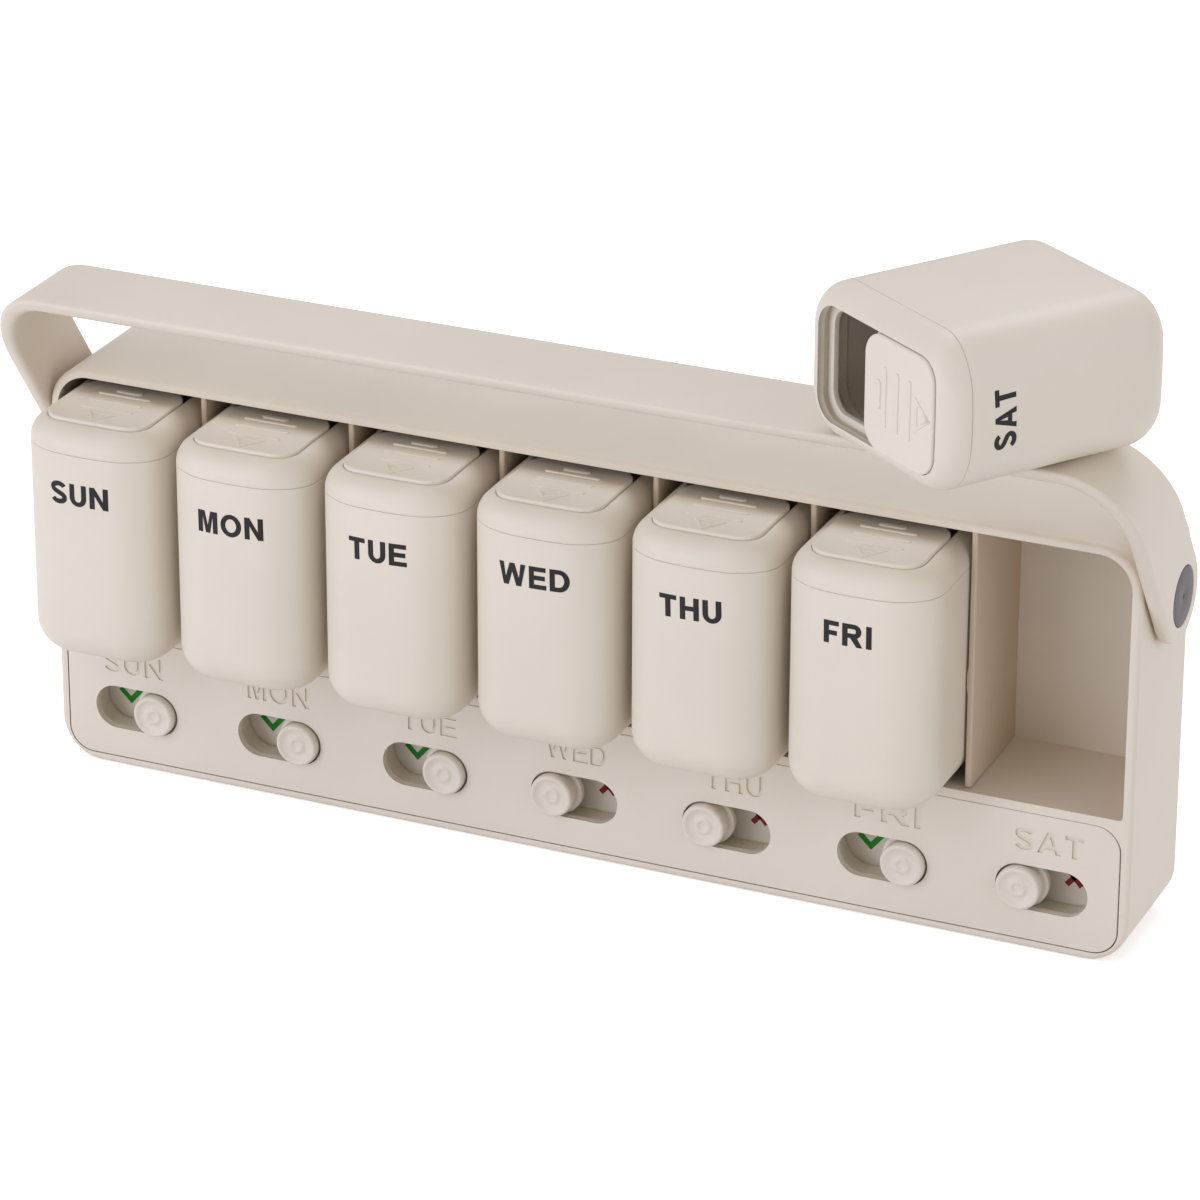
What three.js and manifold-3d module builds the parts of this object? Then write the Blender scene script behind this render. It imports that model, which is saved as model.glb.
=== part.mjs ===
import * as THREE from "three";
import { mergeVertices } from "three/addons/utils/BufferGeometryUtils.js";
import Module from "manifold-3d";

// A weekly pill organizer: seven pull-out pods in an open-fronted case, each over a slide
// switch that uncovers a tick or a cross, and a carrying handle that leans forward.
// Millimetres and degrees. +X runs from Sunday to Saturday, +Y to the back, +Z up.
// The origin is the centre of the case's flat underside.

// The week, the days whose knob stands at the right, and the pod that lies on the handle
const days = ["sun", "mon", "tue", "wed", "thu", "fri", "sat"];
const daysWithKnobAtRight = ["sun", "mon", "tue", "fri"];
const liftedDay = "sat";

// Case
const pitch = 37;
const wall = 2.1;
const rearWall = 2.5;
const caseDepth = 33;
const caseCornerRadius = 10;
const caseFrontRound = 1.3;
const caseBackRound = 1;
const bayFloorCornerRadius = 1;
const switchBayHeight = 30.8;
const switchBayCornerRadius = 6;
const stripLedge = 1.5;

// Dividers
const dividerThickness = 1.4;
const dividerSetback = 2.2;
const dividerTenon = 1;
const detentLength = 7;
const detentDepth = 2.2;
const detentRise = 0.3;
const detentHeightShare = 0.41;

// Switch panel and mark strip
const panelThickness = 2;
const slotLength = 21.2;
const slotRise = 12.7;
const collarReach = 5.5;
const collarWall = 1.2;
const stripThickness = 1.5;

// Knobs
const knobRadius = 5.05;
const knobProud = 1.9;
const knobEndGap = 0.5;
const knobEdgeRound = 0.6;
const knobDishDepth = 0.7;
const knobDishRadiusShare = 0.84;
const knobRingRadius = 1.45;
const knobRingWidth = 0.9;
const knobRingRise = 0.4;
const knobFlangeWidth = 0.85;
const knobFlangeThickness = 1.5;
const knobStubRadiusShare = 0.75;

// Pod body
const podDepth = 51.8;
const podBodyHeight = 51.2;
const podWall = 1.6;
const podEdgeRadius = 10.5;
const podFootRound = 7.5;

// Pod cap
const capHeight = 6.2;
const capRound = 6;
const capSkirtDepth = 2.5;
const capSkirtWall = 1.4;
const lipInset = 4.35;
const lipRearInset = 5.3;
const lipRadius = 5.5;
const lipThickness = 1.7;
const grooveDepth = 0.9;
const grooveHeight = 1.4;
const capFloorThickness = 1.2;
const holeLap = 1.2;
const holeRadius = 4.5;

// Sliding hatch
const hatchLength = 24;
const hatchProud = 0.5;
const hatchEdgeRound = 0.4;
const hatchFlangeThickness = 0.8;
const hatchWall = 1.4;
const hatchRibRise = 0.35;
const hatchRibWidth = 1.2;
const hatchRibTaper = 0.3;
const hatchEndRibWidth = 1.9;
const hatchEndRibLength = 6.5;
const hatchRibLength = 13.2;
const hatchRibShares = [0.33, 0.51, 0.69];
const hatchEndRibShare = 0.79;

// The pod that lies on the handle, by its centre's place along and across the bar
const liftedPodYaw = 55.5;
const liftedPodShift = -10.6;
const liftedPodForward = 3.65;

// Handle and pivots
const strapThickness = 3.6;
const strapWidth = 26;
const strapEdgeRound = 1.5;
const handleLean = 35.2;
const handleRise = 41.9;
const handleCornerReach = 15.6;
const handleCornerDrop = 21.2;
const pivotDrop = 16;
const pivotDiscMargin = 3.97;
const pivotDiscThickness = 1;
const pivotHeadMargin = 1.05;
const pivotHeadThickness = 0.8;
const pivotShoulderRadius = 3.5;
const pivotShoulderStep = 1.65;

// Clearances
const seatGap = 0.3;
const fixedGap = 0.1;
const shaftGap = 0.08;
const pivotGap = 0.2;
const podSideGap = 0.5;
const podHeadroom = 2.35;
const knobGap = 0.28;
const armGap = 0.4;

// How far a cut runs past the face that it opens
const overrun = 1;

// Facets
const cornerSteps = 3;
const roundSteps = 3;
const footSteps = 4;
const innerFootSteps = 2;
const knobEdgeSteps = 2;
const hatchEdgeSteps = 2;
const strapEdgeSteps = 2;
const slotSteps = 4;
const lathePoints = 20;
const knobPoints = 16;
const detentPoints = 12;
const strapCornerSteps = 9;
const weldTolerance = 0.0001;

// Sizes that follow from the values above
const bayHalf = (days.length * pitch - dividerThickness) / 2;
const caseHalf = bayHalf + wall;
const caseFront = -caseDepth / 2;
const caseBack = caseDepth / 2;
const rearInner = caseBack - rearWall;
const switchBayTop = wall + switchBayHeight;
const bayFloor = switchBayTop + wall;
const capBottom = podBodyHeight + seatGap;
const capTop = capBottom + capHeight;
const hatchTop = capTop + hatchProud;
const podHeight = hatchTop + hatchRibRise;
const podHalf = (pitch - dividerThickness) / 2 - podSideGap;
const podFront = rearInner - seatGap - podDepth;
const bayTop = bayFloor + seatGap + podHeight + podHeadroom;
const caseTop = bayTop + wall;
const panelBack = caseFront + panelThickness;
const collarBack = panelBack + collarReach;
const stripFront = collarBack + seatGap;
const ledgeFace = stripFront + stripThickness;
const slotHeight = wall + slotRise;
const slotEndRadius = knobRadius + knobGap;
const knobFlangeRadius = knobRadius + knobFlangeWidth;
const knobOffset = slotLength / 2 - knobRadius - knobEndGap;
const lean = THREE.MathUtils.degToRad(handleLean);
const armHalf = (strapWidth / 2) * Math.cos(lean);
const pivotHeight = caseTop - pivotDrop;
const armInner = caseHalf + armGap;
const armOuter = armInner + strapThickness;
const barTop = pivotHeight + handleRise;
const barMiddle = -(handleRise - strapThickness / 2) * Math.tan(lean);
const dayX = (index) => (index - (days.length - 1) / 2) * pitch;

const ivory = { color: 0xdfd8cb, roughness: 0.42, metalness: 0 };
const finishes = {
  shell: ivory,
  divider: { color: 0xdcd5c8, roughness: 0.45, metalness: 0 },
  panel: ivory,
  strip: { color: 0xefece4, roughness: 0.6, metalness: 0 },
  knob: { color: 0xe6e0d6, roughness: 0.35, metalness: 0 },
  pod: { color: 0xe1dacd, roughness: 0.4, metalness: 0 },
  hatch: { color: 0xe3dcd0, roughness: 0.4, metalness: 0 },
  pin: { color: 0x8f8c86, roughness: 0.35, metalness: 0.9 },
  disc: { color: 0x7d7a78, roughness: 0.5, metalness: 0 },
};

const wasm = await Module();
wasm.setup();

const group = new THREE.Group();
group.name = "pill_organizer";

// Solids

function bareGeometry(geometry) {
  const bare = geometry.clone();
  bare.deleteAttribute("normal");
  bare.deleteAttribute("uv");
  return mergeVertices(bare, weldTolerance);
}

function toSolid(geometry, matrix) {
  const bare = bareGeometry(geometry);
  if (matrix) bare.applyMatrix4(matrix);
  return new wasm.Manifold(
    new wasm.Mesh({
      numProp: 3,
      vertProperties: bare.attributes.position.array,
      triVerts: new Uint32Array(bare.index.array),
    }),
  );
}

function toGeometry(solid) {
  const mesh = solid.getMesh();
  const geometry = new THREE.BufferGeometry();
  geometry.setAttribute("position", new THREE.BufferAttribute(mesh.vertProperties, 3));
  geometry.setIndex(new THREE.BufferAttribute(mesh.triVerts, 1));
  return geometry;
}

function joinSolids(solids) {
  return solids.reduce((joined, solid) => joined.add(solid));
}

function cutSolids(solid, cuts) {
  return cuts.reduce((rest, cut) => rest.subtract(cut), solid);
}

function addMesh(name, geometry, finish, matrix) {
  const faceted = geometry.index ? geometry.toNonIndexed() : geometry;
  faceted.computeVertexNormals();
  const mesh = new THREE.Mesh(faceted, new THREE.MeshStandardMaterial(finish));
  mesh.name = name;
  if (matrix) mesh.applyMatrix4(matrix);
  group.add(mesh);
}

// A closed skin over rings of points that all have the same count, with a flat fan at each end
function loft(rings) {
  const count = rings[0].length;
  const positions = rings.flat().flatMap((point) => point.toArray());
  const faces = [];
  for (let ring = 0; ring < rings.length - 1; ring++) {
    for (let i = 0; i < count; i++) {
      const a = ring * count + i;
      const b = ring * count + ((i + 1) % count);
      faces.push(a, b, b + count, a, b + count, a + count);
    }
  }
  const last = (rings.length - 1) * count;
  for (let i = 1; i < count - 1; i++) {
    faces.push(0, i + 1, i);
    faces.push(last, last + i, last + i + 1);
  }
  const geometry = new THREE.BufferGeometry();
  geometry.setAttribute("position", new THREE.Float32BufferAttribute(positions, 3));
  geometry.setIndex(faces);
  return geometry;
}

// A rectangle's outline with round corners. The radii start at the low corner on both axes
// and go round counter-clockwise.
function roundedRectangle(low, high, radii, steps = cornerSteps) {
  const corners = [
    [low.x, low.y, 1, 1],
    [high.x, low.y, -1, 1],
    [high.x, high.y, -1, -1],
    [low.x, high.y, 1, -1],
  ];
  return corners.flatMap(([x, y, inX, inY], corner) => {
    const radius = radii[corner];
    const centre = new THREE.Vector2(x + inX * radius, y + inY * radius);
    const start = Math.PI + (corner * Math.PI) / 2;
    return Array.from({ length: steps + 1 }, (_, step) => {
      const angle = start + ((step / steps) * Math.PI) / 2;
      return new THREE.Vector2(Math.cos(angle), Math.sin(angle)).multiplyScalar(radius).add(centre);
    });
  });
}

// The same outline drawn in by an inset, with the corners kept concentric
function insetOutline(low, high, radii, inset, steps) {
  return roundedRectangle(
    low.clone().addScalar(inset),
    high.clone().subScalar(inset),
    radii.map((radius) => Math.max(radius - inset, 0)),
    steps,
  );
}

// Inset and height at each step of a quarter-round edge, from the drawn-in end to the full one
function quarterRound(radius, steps = roundSteps) {
  return Array.from({ length: steps + 1 }, (_, step) => {
    const angle = ((step / steps) * Math.PI) / 2;
    return { inset: radius * (1 - Math.sin(angle)), depth: radius * (1 - Math.cos(angle)) };
  });
}

// Facing the back: an outline in X and Z at one place along Y
function ringAcross(outline, y) {
  return outline.map((point) => new THREE.Vector3(point.x, y, point.y));
}

// Level: an outline in X and Y at one height
function ringLevel(outline, z) {
  return outline.map((point) => new THREE.Vector3(point.x, point.y, z));
}

// A block with an outline in X and Z between two places along Y
function blockAcross(outline, from, to) {
  return toSolid(loft([ringAcross(outline, to), ringAcross(outline, from)]));
}

function rectangle(low, high) {
  return roundedRectangle(low, high, [0, 0, 0, 0], 1);
}

// A lathe's own axis laid along X, pointing to the given side, from a place on the X axis
function alongX(side, x) {
  const turn = new THREE.Matrix4().makeRotationZ((-side * Math.PI) / 2);
  return new THREE.Matrix4().makeTranslation(side * x, 0, pivotHeight).multiply(turn);
}

function lathe(profile, around = lathePoints) {
  const points = profile.map(([radius, height]) => new THREE.Vector2(radius, height));
  return new THREE.LatheGeometry(points, around);
}

// Case

const caseLow = new THREE.Vector2(-caseHalf, 0);
const caseHigh = new THREE.Vector2(caseHalf, caseTop);
const caseRadii = Array(4).fill(caseCornerRadius);
const bayLow = new THREE.Vector2(-bayHalf, bayFloor);
const bayHigh = new THREE.Vector2(bayHalf, bayTop);
const bayTopRadius = caseCornerRadius - wall;
const bayRadii = [bayFloorCornerRadius, bayFloorCornerRadius, bayTopRadius, bayTopRadius];
const switchLow = new THREE.Vector2(-bayHalf, wall);
const switchHigh = new THREE.Vector2(bayHalf, switchBayTop);
const switchRadii = Array(4).fill(switchBayCornerRadius);

function dividerOutline(gap) {
  const half = dividerThickness / 2 + gap;
  return rectangle(new THREE.Vector2(-half, bayFloor), new THREE.Vector2(half, bayTop));
}

function shiftAlongX(outline, x) {
  return outline.map((point) => new THREE.Vector2(point.x + x, point.y));
}

function makeCaseShell() {
  const front = quarterRound(caseFrontRound);
  const back = quarterRound(caseBackRound).reverse();
  const rings = [
    ...front.map(({ inset, depth }) =>
      ringAcross(insetOutline(caseLow, caseHigh, caseRadii, inset), caseFront + depth),
    ),
    ...back.map(({ inset, depth }) =>
      ringAcross(insetOutline(caseLow, caseHigh, caseRadii, inset), caseBack - depth),
    ),
  ];
  const outside = toSolid(loft(rings.reverse()));
  const bays = blockAcross(roundedRectangle(bayLow, bayHigh, bayRadii), caseFront - overrun, rearInner);
  const panelPocket = insetOutline(switchLow, switchHigh, switchRadii, 0);
  const backPocket = insetOutline(switchLow, switchHigh, switchRadii, stripLedge);
  const grooves = dividerPlaces().map((x) =>
    blockAcross(
      shiftAlongX(dividerOutline(fixedGap), x),
      rearInner - overrun,
      rearInner + dividerTenon + fixedGap,
    ),
  );
  const pinHole = pivotShoulderRadius - pivotShoulderStep + fixedGap;
  const pinHoles = [-1, 1].map((side) =>
    toSolid(
      new THREE.CylinderGeometry(pinHole, pinHole, wall + 2 * overrun, lathePoints),
      alongX(side, bayHalf + wall / 2),
    ),
  );
  return cutSolids(outside, [
    bays,
    blockAcross(panelPocket, caseFront - overrun, ledgeFace),
    blockAcross(backPocket, ledgeFace - overrun, rearInner),
    ...grooves,
    ...pinHoles,
  ]);
}

function dividerPlaces() {
  return days.slice(1).map((_, index) => (dayX(index) + dayX(index + 1)) / 2);
}

// A plate from the case's mouth to a groove in its rear wall, with a detent rib on its left face
function makeDivider() {
  const plate = blockAcross(dividerOutline(0), caseFront + dividerSetback, rearInner + dividerTenon);
  const rib = new THREE.CylinderGeometry(1, 1, detentLength, detentPoints);
  const place = new THREE.Matrix4()
    .makeTranslation(
      -dividerThickness / 2,
      caseFront + dividerSetback + detentDepth / 2,
      bayFloor + detentHeightShare * (bayTop - bayFloor),
    )
    .multiply(new THREE.Matrix4().makeScale(detentRise, detentDepth / 2, 1))
    .multiply(new THREE.Matrix4().makeRotationX(Math.PI / 2));
  return plate.add(toSolid(rib, place));
}

// Switch panel, mark strip and knobs

// A slot's outline: two half circles joined by straight sides
function slotOutline(grow) {
  const radius = slotEndRadius + grow;
  const half = slotLength / 2 + grow;
  return roundedRectangle(
    new THREE.Vector2(-half, -radius),
    new THREE.Vector2(half, radius),
    Array(4).fill(radius),
    slotSteps,
  );
}

function slotBlock(index, grow, from, to) {
  const outline = slotOutline(grow).map(
    (point) => new THREE.Vector2(point.x + dayX(index), point.y + slotHeight),
  );
  return blockAcross(outline, from, to);
}

function makeSwitchPanel() {
  const plate = blockAcross(
    insetOutline(switchLow, switchHigh, switchRadii, seatGap),
    caseFront,
    panelBack,
  );
  const inner = knobFlangeRadius - slotEndRadius + seatGap;
  const collars = days.map((_, index) =>
    slotBlock(index, inner + collarWall, panelBack - panelThickness / 2, collarBack),
  );
  const cuts = days.flatMap((_, index) => [
    slotBlock(index, 0, caseFront - overrun, panelBack + overrun),
    slotBlock(index, inner, panelBack, collarBack + overrun),
  ]);
  return cutSolids(joinSolids([plate, ...collars]), cuts);
}

function makeMarkStrip() {
  return blockAcross(insetOutline(switchLow, switchHigh, switchRadii, seatGap), stripFront, ledgeFace);
}

// A dished face with a small raised ring, a head that fills the slot, a flange behind the
// panel and a stub that runs on the mark strip. The profile's height grows to the front.
function makeKnob() {
  const dish = -knobDishDepth;
  const shank = -(knobProud + panelThickness + seatGap);
  const flangeBack = shank - knobFlangeThickness;
  const stubBack = -(knobProud + stripFront - caseFront - seatGap);
  const edge = quarterRound(knobEdgeRound, knobEdgeSteps);
  const profile = [
    [0, dish],
    [knobRingRadius - knobRingWidth / 2, dish],
    [knobRingRadius, dish + knobRingRise],
    [knobRingRadius + knobRingWidth / 2, dish],
    [knobRadius * knobDishRadiusShare - knobEdgeRound, dish / 2],
    ...edge.map(({ inset, depth }) => [knobRadius - inset, -depth]),
    [knobRadius, shank],
    [knobFlangeRadius, shank],
    [knobFlangeRadius, flangeBack],
    [knobRadius * knobStubRadiusShare, flangeBack],
    [knobRadius * knobStubRadiusShare, stubBack],
    [0, stubBack],
  ];
  return lathe(profile.reverse(), knobPoints);
}

function knobMatrix(index) {
  const side = daysWithKnobAtRight.includes(days[index]) ? 1 : -1;
  const turn = new THREE.Matrix4().makeRotationX(Math.PI);
  return new THREE.Matrix4()
    .makeTranslation(dayX(index) + side * knobOffset, caseFront - knobProud, slotHeight)
    .multiply(turn);
}

// Pods, in their own frame: X across, Y back from the label face, Z up from the underside

const podLow = new THREE.Vector2(-podHalf, 0);
const podHigh = new THREE.Vector2(podHalf, podDepth);
const podRadii = Array(4).fill(podEdgeRadius);
const lipLow = new THREE.Vector2(-podHalf + lipInset, lipInset);
const lipHigh = new THREE.Vector2(podHalf - lipInset, podDepth - lipRearInset);
const hatchTravel = lipHigh.y - lipLow.y - hatchLength - 2 * seatGap;

function podRing(inset, z) {
  return ringLevel(insetOutline(podLow, podHigh, podRadii, inset), z);
}

// An open cup with a rounded foot
function makePodBody() {
  const foot = quarterRound(podFootRound, footSteps);
  const innerFoot = quarterRound(podFootRound - podWall, innerFootSteps).reverse();
  return loft([
    ...foot.map(({ inset, depth }) => podRing(inset, depth)),
    podRing(0, podBodyHeight),
    podRing(podWall, podBodyHeight),
    ...innerFoot.map(({ inset, depth }) => podRing(podWall + inset, podWall + depth)),
  ]);
}

// The stepped cut in a cap: the dispensing hole, the hatch's groove and the opening in the lip
function makeCapOpening() {
  const grooveBottom = capTop - lipThickness - grooveHeight;
  const grooveTop = capTop - lipThickness;
  const hole = roundedRectangle(
    new THREE.Vector2(lipLow.x + seatGap + holeLap, lipLow.y + seatGap + hatchTravel + holeLap),
    new THREE.Vector2(lipHigh.x - seatGap - holeLap, lipHigh.y - seatGap - holeLap),
    Array(4).fill(holeRadius),
  );
  const lipRadii = Array(4).fill(lipRadius);
  const groove = insetOutline(lipLow, lipHigh, lipRadii, -grooveDepth);
  const lip = insetOutline(lipLow, lipHigh, lipRadii, 0);
  return toSolid(
    loft([
      ringLevel(hole, grooveBottom - capFloorThickness - overrun),
      ringLevel(hole, grooveBottom),
      ringLevel(groove, grooveBottom),
      ringLevel(groove, grooveTop),
      ringLevel(lip, grooveTop),
      ringLevel(lip, capTop + overrun),
    ]),
  );
}

function makePodCap() {
  const skirt = podWall + seatGap;
  const skirtBottom = capBottom - capSkirtDepth;
  const top = quarterRound(capRound).reverse();
  const outside = loft([
    podRing(skirt, skirtBottom),
    podRing(skirt, capBottom),
    ...top.map(({ inset, depth }) => podRing(inset, capTop - depth)),
  ]);
  const floorBottom = capTop - lipThickness - grooveHeight - capFloorThickness;
  const inside = loft([
    podRing(skirt + capSkirtWall, skirtBottom - overrun),
    podRing(skirt + capSkirtWall, floorBottom),
  ]);
  return cutSolids(toSolid(outside), [toSolid(inside), makeCapOpening()]);
}

// A low rib across the hatch with sloping sides
function hatchRib(y, length, width) {
  const rib = (inset, z) => {
    const half = new THREE.Vector2(length / 2 - inset, width / 2 - inset);
    const middle = new THREE.Vector2(0, y);
    return ringLevel(rectangle(middle.clone().sub(half), middle.clone().add(half)), z);
  };
  return toSolid(loft([rib(0, hatchTop - hatchRibRise), rib(0, hatchTop), rib(hatchRibTaper, podHeight)]));
}

// A shallow lid whose flange runs in the cap's groove, with ribs for the finger
function makeHatch() {
  const low = lipLow.clone().addScalar(seatGap);
  const high = new THREE.Vector2(lipHigh.x - seatGap, lipLow.y + seatGap + hatchLength);
  const radii = Array(4).fill(lipRadius - seatGap);
  const ring = (inset, z) => ringLevel(insetOutline(low, high, radii, inset), z);
  const flangeBottom = capTop - lipThickness - grooveHeight + seatGap;
  const flangeTop = flangeBottom + hatchFlangeThickness;
  const top = quarterRound(hatchEdgeRound, hatchEdgeSteps).reverse();
  const lid = loft([
    ring(hatchWall, hatchTop - hatchWall),
    ring(hatchWall, flangeBottom),
    ring(-grooveDepth + seatGap, flangeBottom),
    ring(-grooveDepth + seatGap, flangeTop),
    ring(0, flangeTop),
    ...top.map(({ inset, depth }) => ring(inset, hatchTop - depth)),
  ]);
  const ribs = hatchRibShares.map((share) =>
    hatchRib(low.y + share * hatchLength, hatchRibLength, hatchRibWidth),
  );
  const endRib = hatchRib(low.y + hatchEndRibShare * hatchLength, hatchEndRibLength, hatchEndRibWidth);
  return joinSolids([toSolid(lid), ...ribs, endRib]);
}

function dockedPodMatrix(index) {
  return new THREE.Matrix4().makeTranslation(dayX(index), podFront, bayFloor + seatGap);
}

// On its side on the handle's bar: its width stands up, and it is turned about the vertical
function liftedPodMatrix(index) {
  const yaw = THREE.MathUtils.degToRad(liftedPodYaw);
  const across = new THREE.Vector3(0, 0, 1);
  const backward = new THREE.Vector3(-Math.sin(yaw), Math.cos(yaw), 0);
  const upward = new THREE.Vector3(-Math.cos(yaw), -Math.sin(yaw), 0);
  const turn = new THREE.Matrix4().makeBasis(across, backward, upward);
  const toCentre = new THREE.Matrix4().makeTranslation(0, -podDepth / 2, -podHeight / 2);
  return new THREE.Matrix4()
    .makeTranslation(
      dayX(index) + liftedPodShift,
      barMiddle - liftedPodForward,
      barTop + seatGap + podHalf,
    )
    .multiply(turn)
    .multiply(toCentre);
}

// Handle

// The strap's centre and outward direction at a step round one of its two upper corners
function strapStation(side, angle) {
  const centre = new THREE.Vector2(side * (armOuter - handleCornerReach), barTop - handleCornerDrop);
  const edge = (inset) =>
    new THREE.Vector2(
      side * (handleCornerReach - inset) * Math.cos(angle),
      (handleCornerDrop - inset) * Math.sin(angle),
    ).add(centre);
  const outer = edge(0);
  const inner = edge(strapThickness);
  return { middle: outer.clone().add(inner).multiplyScalar(0.5), out: outer.clone().sub(inner).normalize() };
}

// The strap's section, laid across the path and sheared forward with its height
function strapRing({ middle, out }) {
  const half = new THREE.Vector2(strapWidth / 2, strapThickness / 2);
  const radii = Array(4).fill(strapEdgeRound);
  return roundedRectangle(half.clone().negate(), half, radii, strapEdgeSteps).map((point) => {
    const place = middle.clone().addScaledVector(out, point.y);
    return new THREE.Vector3(place.x, point.x - (place.y - pivotHeight) * Math.tan(lean), place.y);
  });
}

// One of the handle's ends: a disc round the pivot with the strap's rounded edges
function makeArmEnd(side) {
  const edge = quarterRound(strapEdgeRound, strapEdgeSteps);
  const low = edge.map(({ inset, depth }) => [armHalf - inset, depth]);
  const high = edge.map(({ inset, depth }) => [armHalf - inset, strapThickness - depth]).reverse();
  return toSolid(lathe([[0, 0], ...low, ...high, [0, strapThickness]]), alongX(side, armInner));
}

// The pivot's shoulder hole and the recess for its head and disc, cut from the outer face
function makeArmCuts(side) {
  const hole = pivotShoulderRadius + shaftGap;
  const recess = armHalf - pivotDiscMargin + pivotGap;
  const recessDepth = pivotDiscThickness + pivotHeadThickness + 2 * pivotGap;
  return toSolid(
    lathe([
      [0, -overrun],
      [hole, -overrun],
      [hole, strapThickness - recessDepth],
      [recess, strapThickness - recessDepth],
      [recess, strapThickness + overrun],
      [0, strapThickness + overrun],
    ]),
    alongX(side, armInner),
  );
}

function makeHandle() {
  const steps = Array.from(
    { length: strapCornerSteps + 1 },
    (_, step) => ((step / strapCornerSteps) * Math.PI) / 2,
  );
  const left = steps.map((angle) => strapStation(-1, angle));
  const right = steps.map((angle) => strapStation(1, angle)).reverse();
  const armEnd = (side) => ({
    middle: new THREE.Vector2(side * (armOuter - strapThickness / 2), pivotHeight - armHalf),
    out: new THREE.Vector2(side, 0),
  });
  const strap = toSolid(loft([armEnd(-1), ...left, ...right, armEnd(1)].map(strapRing)));
  const trim = new THREE.Matrix4()
    .makeTranslation(0, 0, pivotHeight)
    .multiply(new THREE.Matrix4().makeRotationX(lean))
    .multiply(new THREE.Matrix4().makeTranslation(0, 0, -strapWidth / 2));
  const below = new THREE.BoxGeometry(2 * (armOuter + overrun), 2 * strapWidth, strapWidth);
  const trimmed = strap.subtract(toSolid(below, trim));
  const joined = joinSolids([trimmed, makeArmEnd(-1), makeArmEnd(1)]);
  return cutSolids(joined, [makeArmCuts(-1), makeArmCuts(1)]);
}

// A pin with its shank in the case's side wall, its shoulder through the arm and its head in
// the arm's recess. Its height starts at the inner face of the side wall.
function makePivotPin() {
  const shank = pivotShoulderRadius - pivotShoulderStep;
  const head = armHalf - pivotDiscMargin - pivotHeadMargin;
  const headTop = armOuter - bayHalf - pivotDiscThickness - pivotGap;
  const headBottom = headTop - pivotHeadThickness;
  return lathe([
    [0, pivotGap],
    [shank, pivotGap],
    [shank, wall + pivotGap],
    [pivotShoulderRadius, wall + pivotGap],
    [pivotShoulderRadius, headBottom],
    [head, headBottom],
    [head, headTop],
    [0, headTop],
  ]);
}

function makePivotDisc() {
  return new THREE.CylinderGeometry(
    armHalf - pivotDiscMargin,
    armHalf - pivotDiscMargin,
    pivotDiscThickness,
    lathePoints,
  );
}

// Assembly

addMesh("case_shell", toGeometry(makeCaseShell()), finishes.shell);
addMesh("switch_panel", toGeometry(makeSwitchPanel()), finishes.panel);
addMesh("mark_strip", toGeometry(makeMarkStrip()), finishes.strip);
addMesh("handle", toGeometry(makeHandle()), finishes.shell);

dividerPlaces().forEach((x, index) => {
  const place = new THREE.Matrix4().makeTranslation(x, 0, 0);
  addMesh("divider_" + (index + 1), toGeometry(makeDivider()), finishes.divider, place);
});

for (const [side, name] of [[-1, "left"], [1, "right"]]) {
  addMesh("pivot_pin_" + name, makePivotPin(), finishes.pin, alongX(side, bayHalf));
  const disc = alongX(side, armOuter - pivotDiscThickness / 2);
  addMesh("pivot_disc_" + name, makePivotDisc(), finishes.disc, disc);
}

days.forEach((day, index) => {
  const pod = day === liftedDay ? liftedPodMatrix(index) : dockedPodMatrix(index);
  addMesh("knob_" + day, makeKnob(), finishes.knob, knobMatrix(index));
  addMesh("pod_body_" + day, makePodBody(), finishes.pod, pod);
  addMesh("pod_cap_" + day, toGeometry(makePodCap()), finishes.pod, pod);
  addMesh("hatch_" + day, toGeometry(makeHatch()), finishes.hatch, pod);
});

export default group;
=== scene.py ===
import math

import bmesh
import bpy
from mathutils import Matrix, Vector
from mathutils.geometry import tessellate_polygon


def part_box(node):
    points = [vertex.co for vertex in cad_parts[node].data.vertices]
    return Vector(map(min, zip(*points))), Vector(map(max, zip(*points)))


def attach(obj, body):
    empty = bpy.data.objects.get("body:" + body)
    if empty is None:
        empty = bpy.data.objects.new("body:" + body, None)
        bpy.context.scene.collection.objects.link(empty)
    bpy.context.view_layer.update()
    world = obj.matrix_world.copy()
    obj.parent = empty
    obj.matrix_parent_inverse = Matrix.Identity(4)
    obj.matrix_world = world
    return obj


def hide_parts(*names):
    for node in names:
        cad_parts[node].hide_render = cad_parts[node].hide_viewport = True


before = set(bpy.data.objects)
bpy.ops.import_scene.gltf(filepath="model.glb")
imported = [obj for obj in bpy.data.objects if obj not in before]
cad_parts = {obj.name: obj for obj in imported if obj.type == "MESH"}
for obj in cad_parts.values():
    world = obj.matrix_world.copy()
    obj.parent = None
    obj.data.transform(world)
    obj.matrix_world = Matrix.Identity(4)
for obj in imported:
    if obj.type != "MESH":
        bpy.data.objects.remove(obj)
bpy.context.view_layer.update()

# Everything below is drawn in millimetres and made metres when its mesh is made.
MM = 0.001

DAYS = ["sun", "mon", "tue", "wed", "thu", "fri", "sat"]
LIFTED_DAY = "sat"


def box_mm(node):
    """The low and the high corner of a solid's box, in millimetres."""
    low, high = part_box(node)
    return low / MM, high / MM


# Sizes read from the frame
case_low, case_high = box_mm("case_shell")
strip_low, strip_high = box_mm("mark_strip")
pod_low, pod_high = box_mm("pod_body_sun")
disc_low, disc_high = box_mm("pivot_disc_right")
divider_low, _ = box_mm("divider_1")
_, panel_high = box_mm("switch_panel")
_, handle_high = box_mm("handle")

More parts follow.
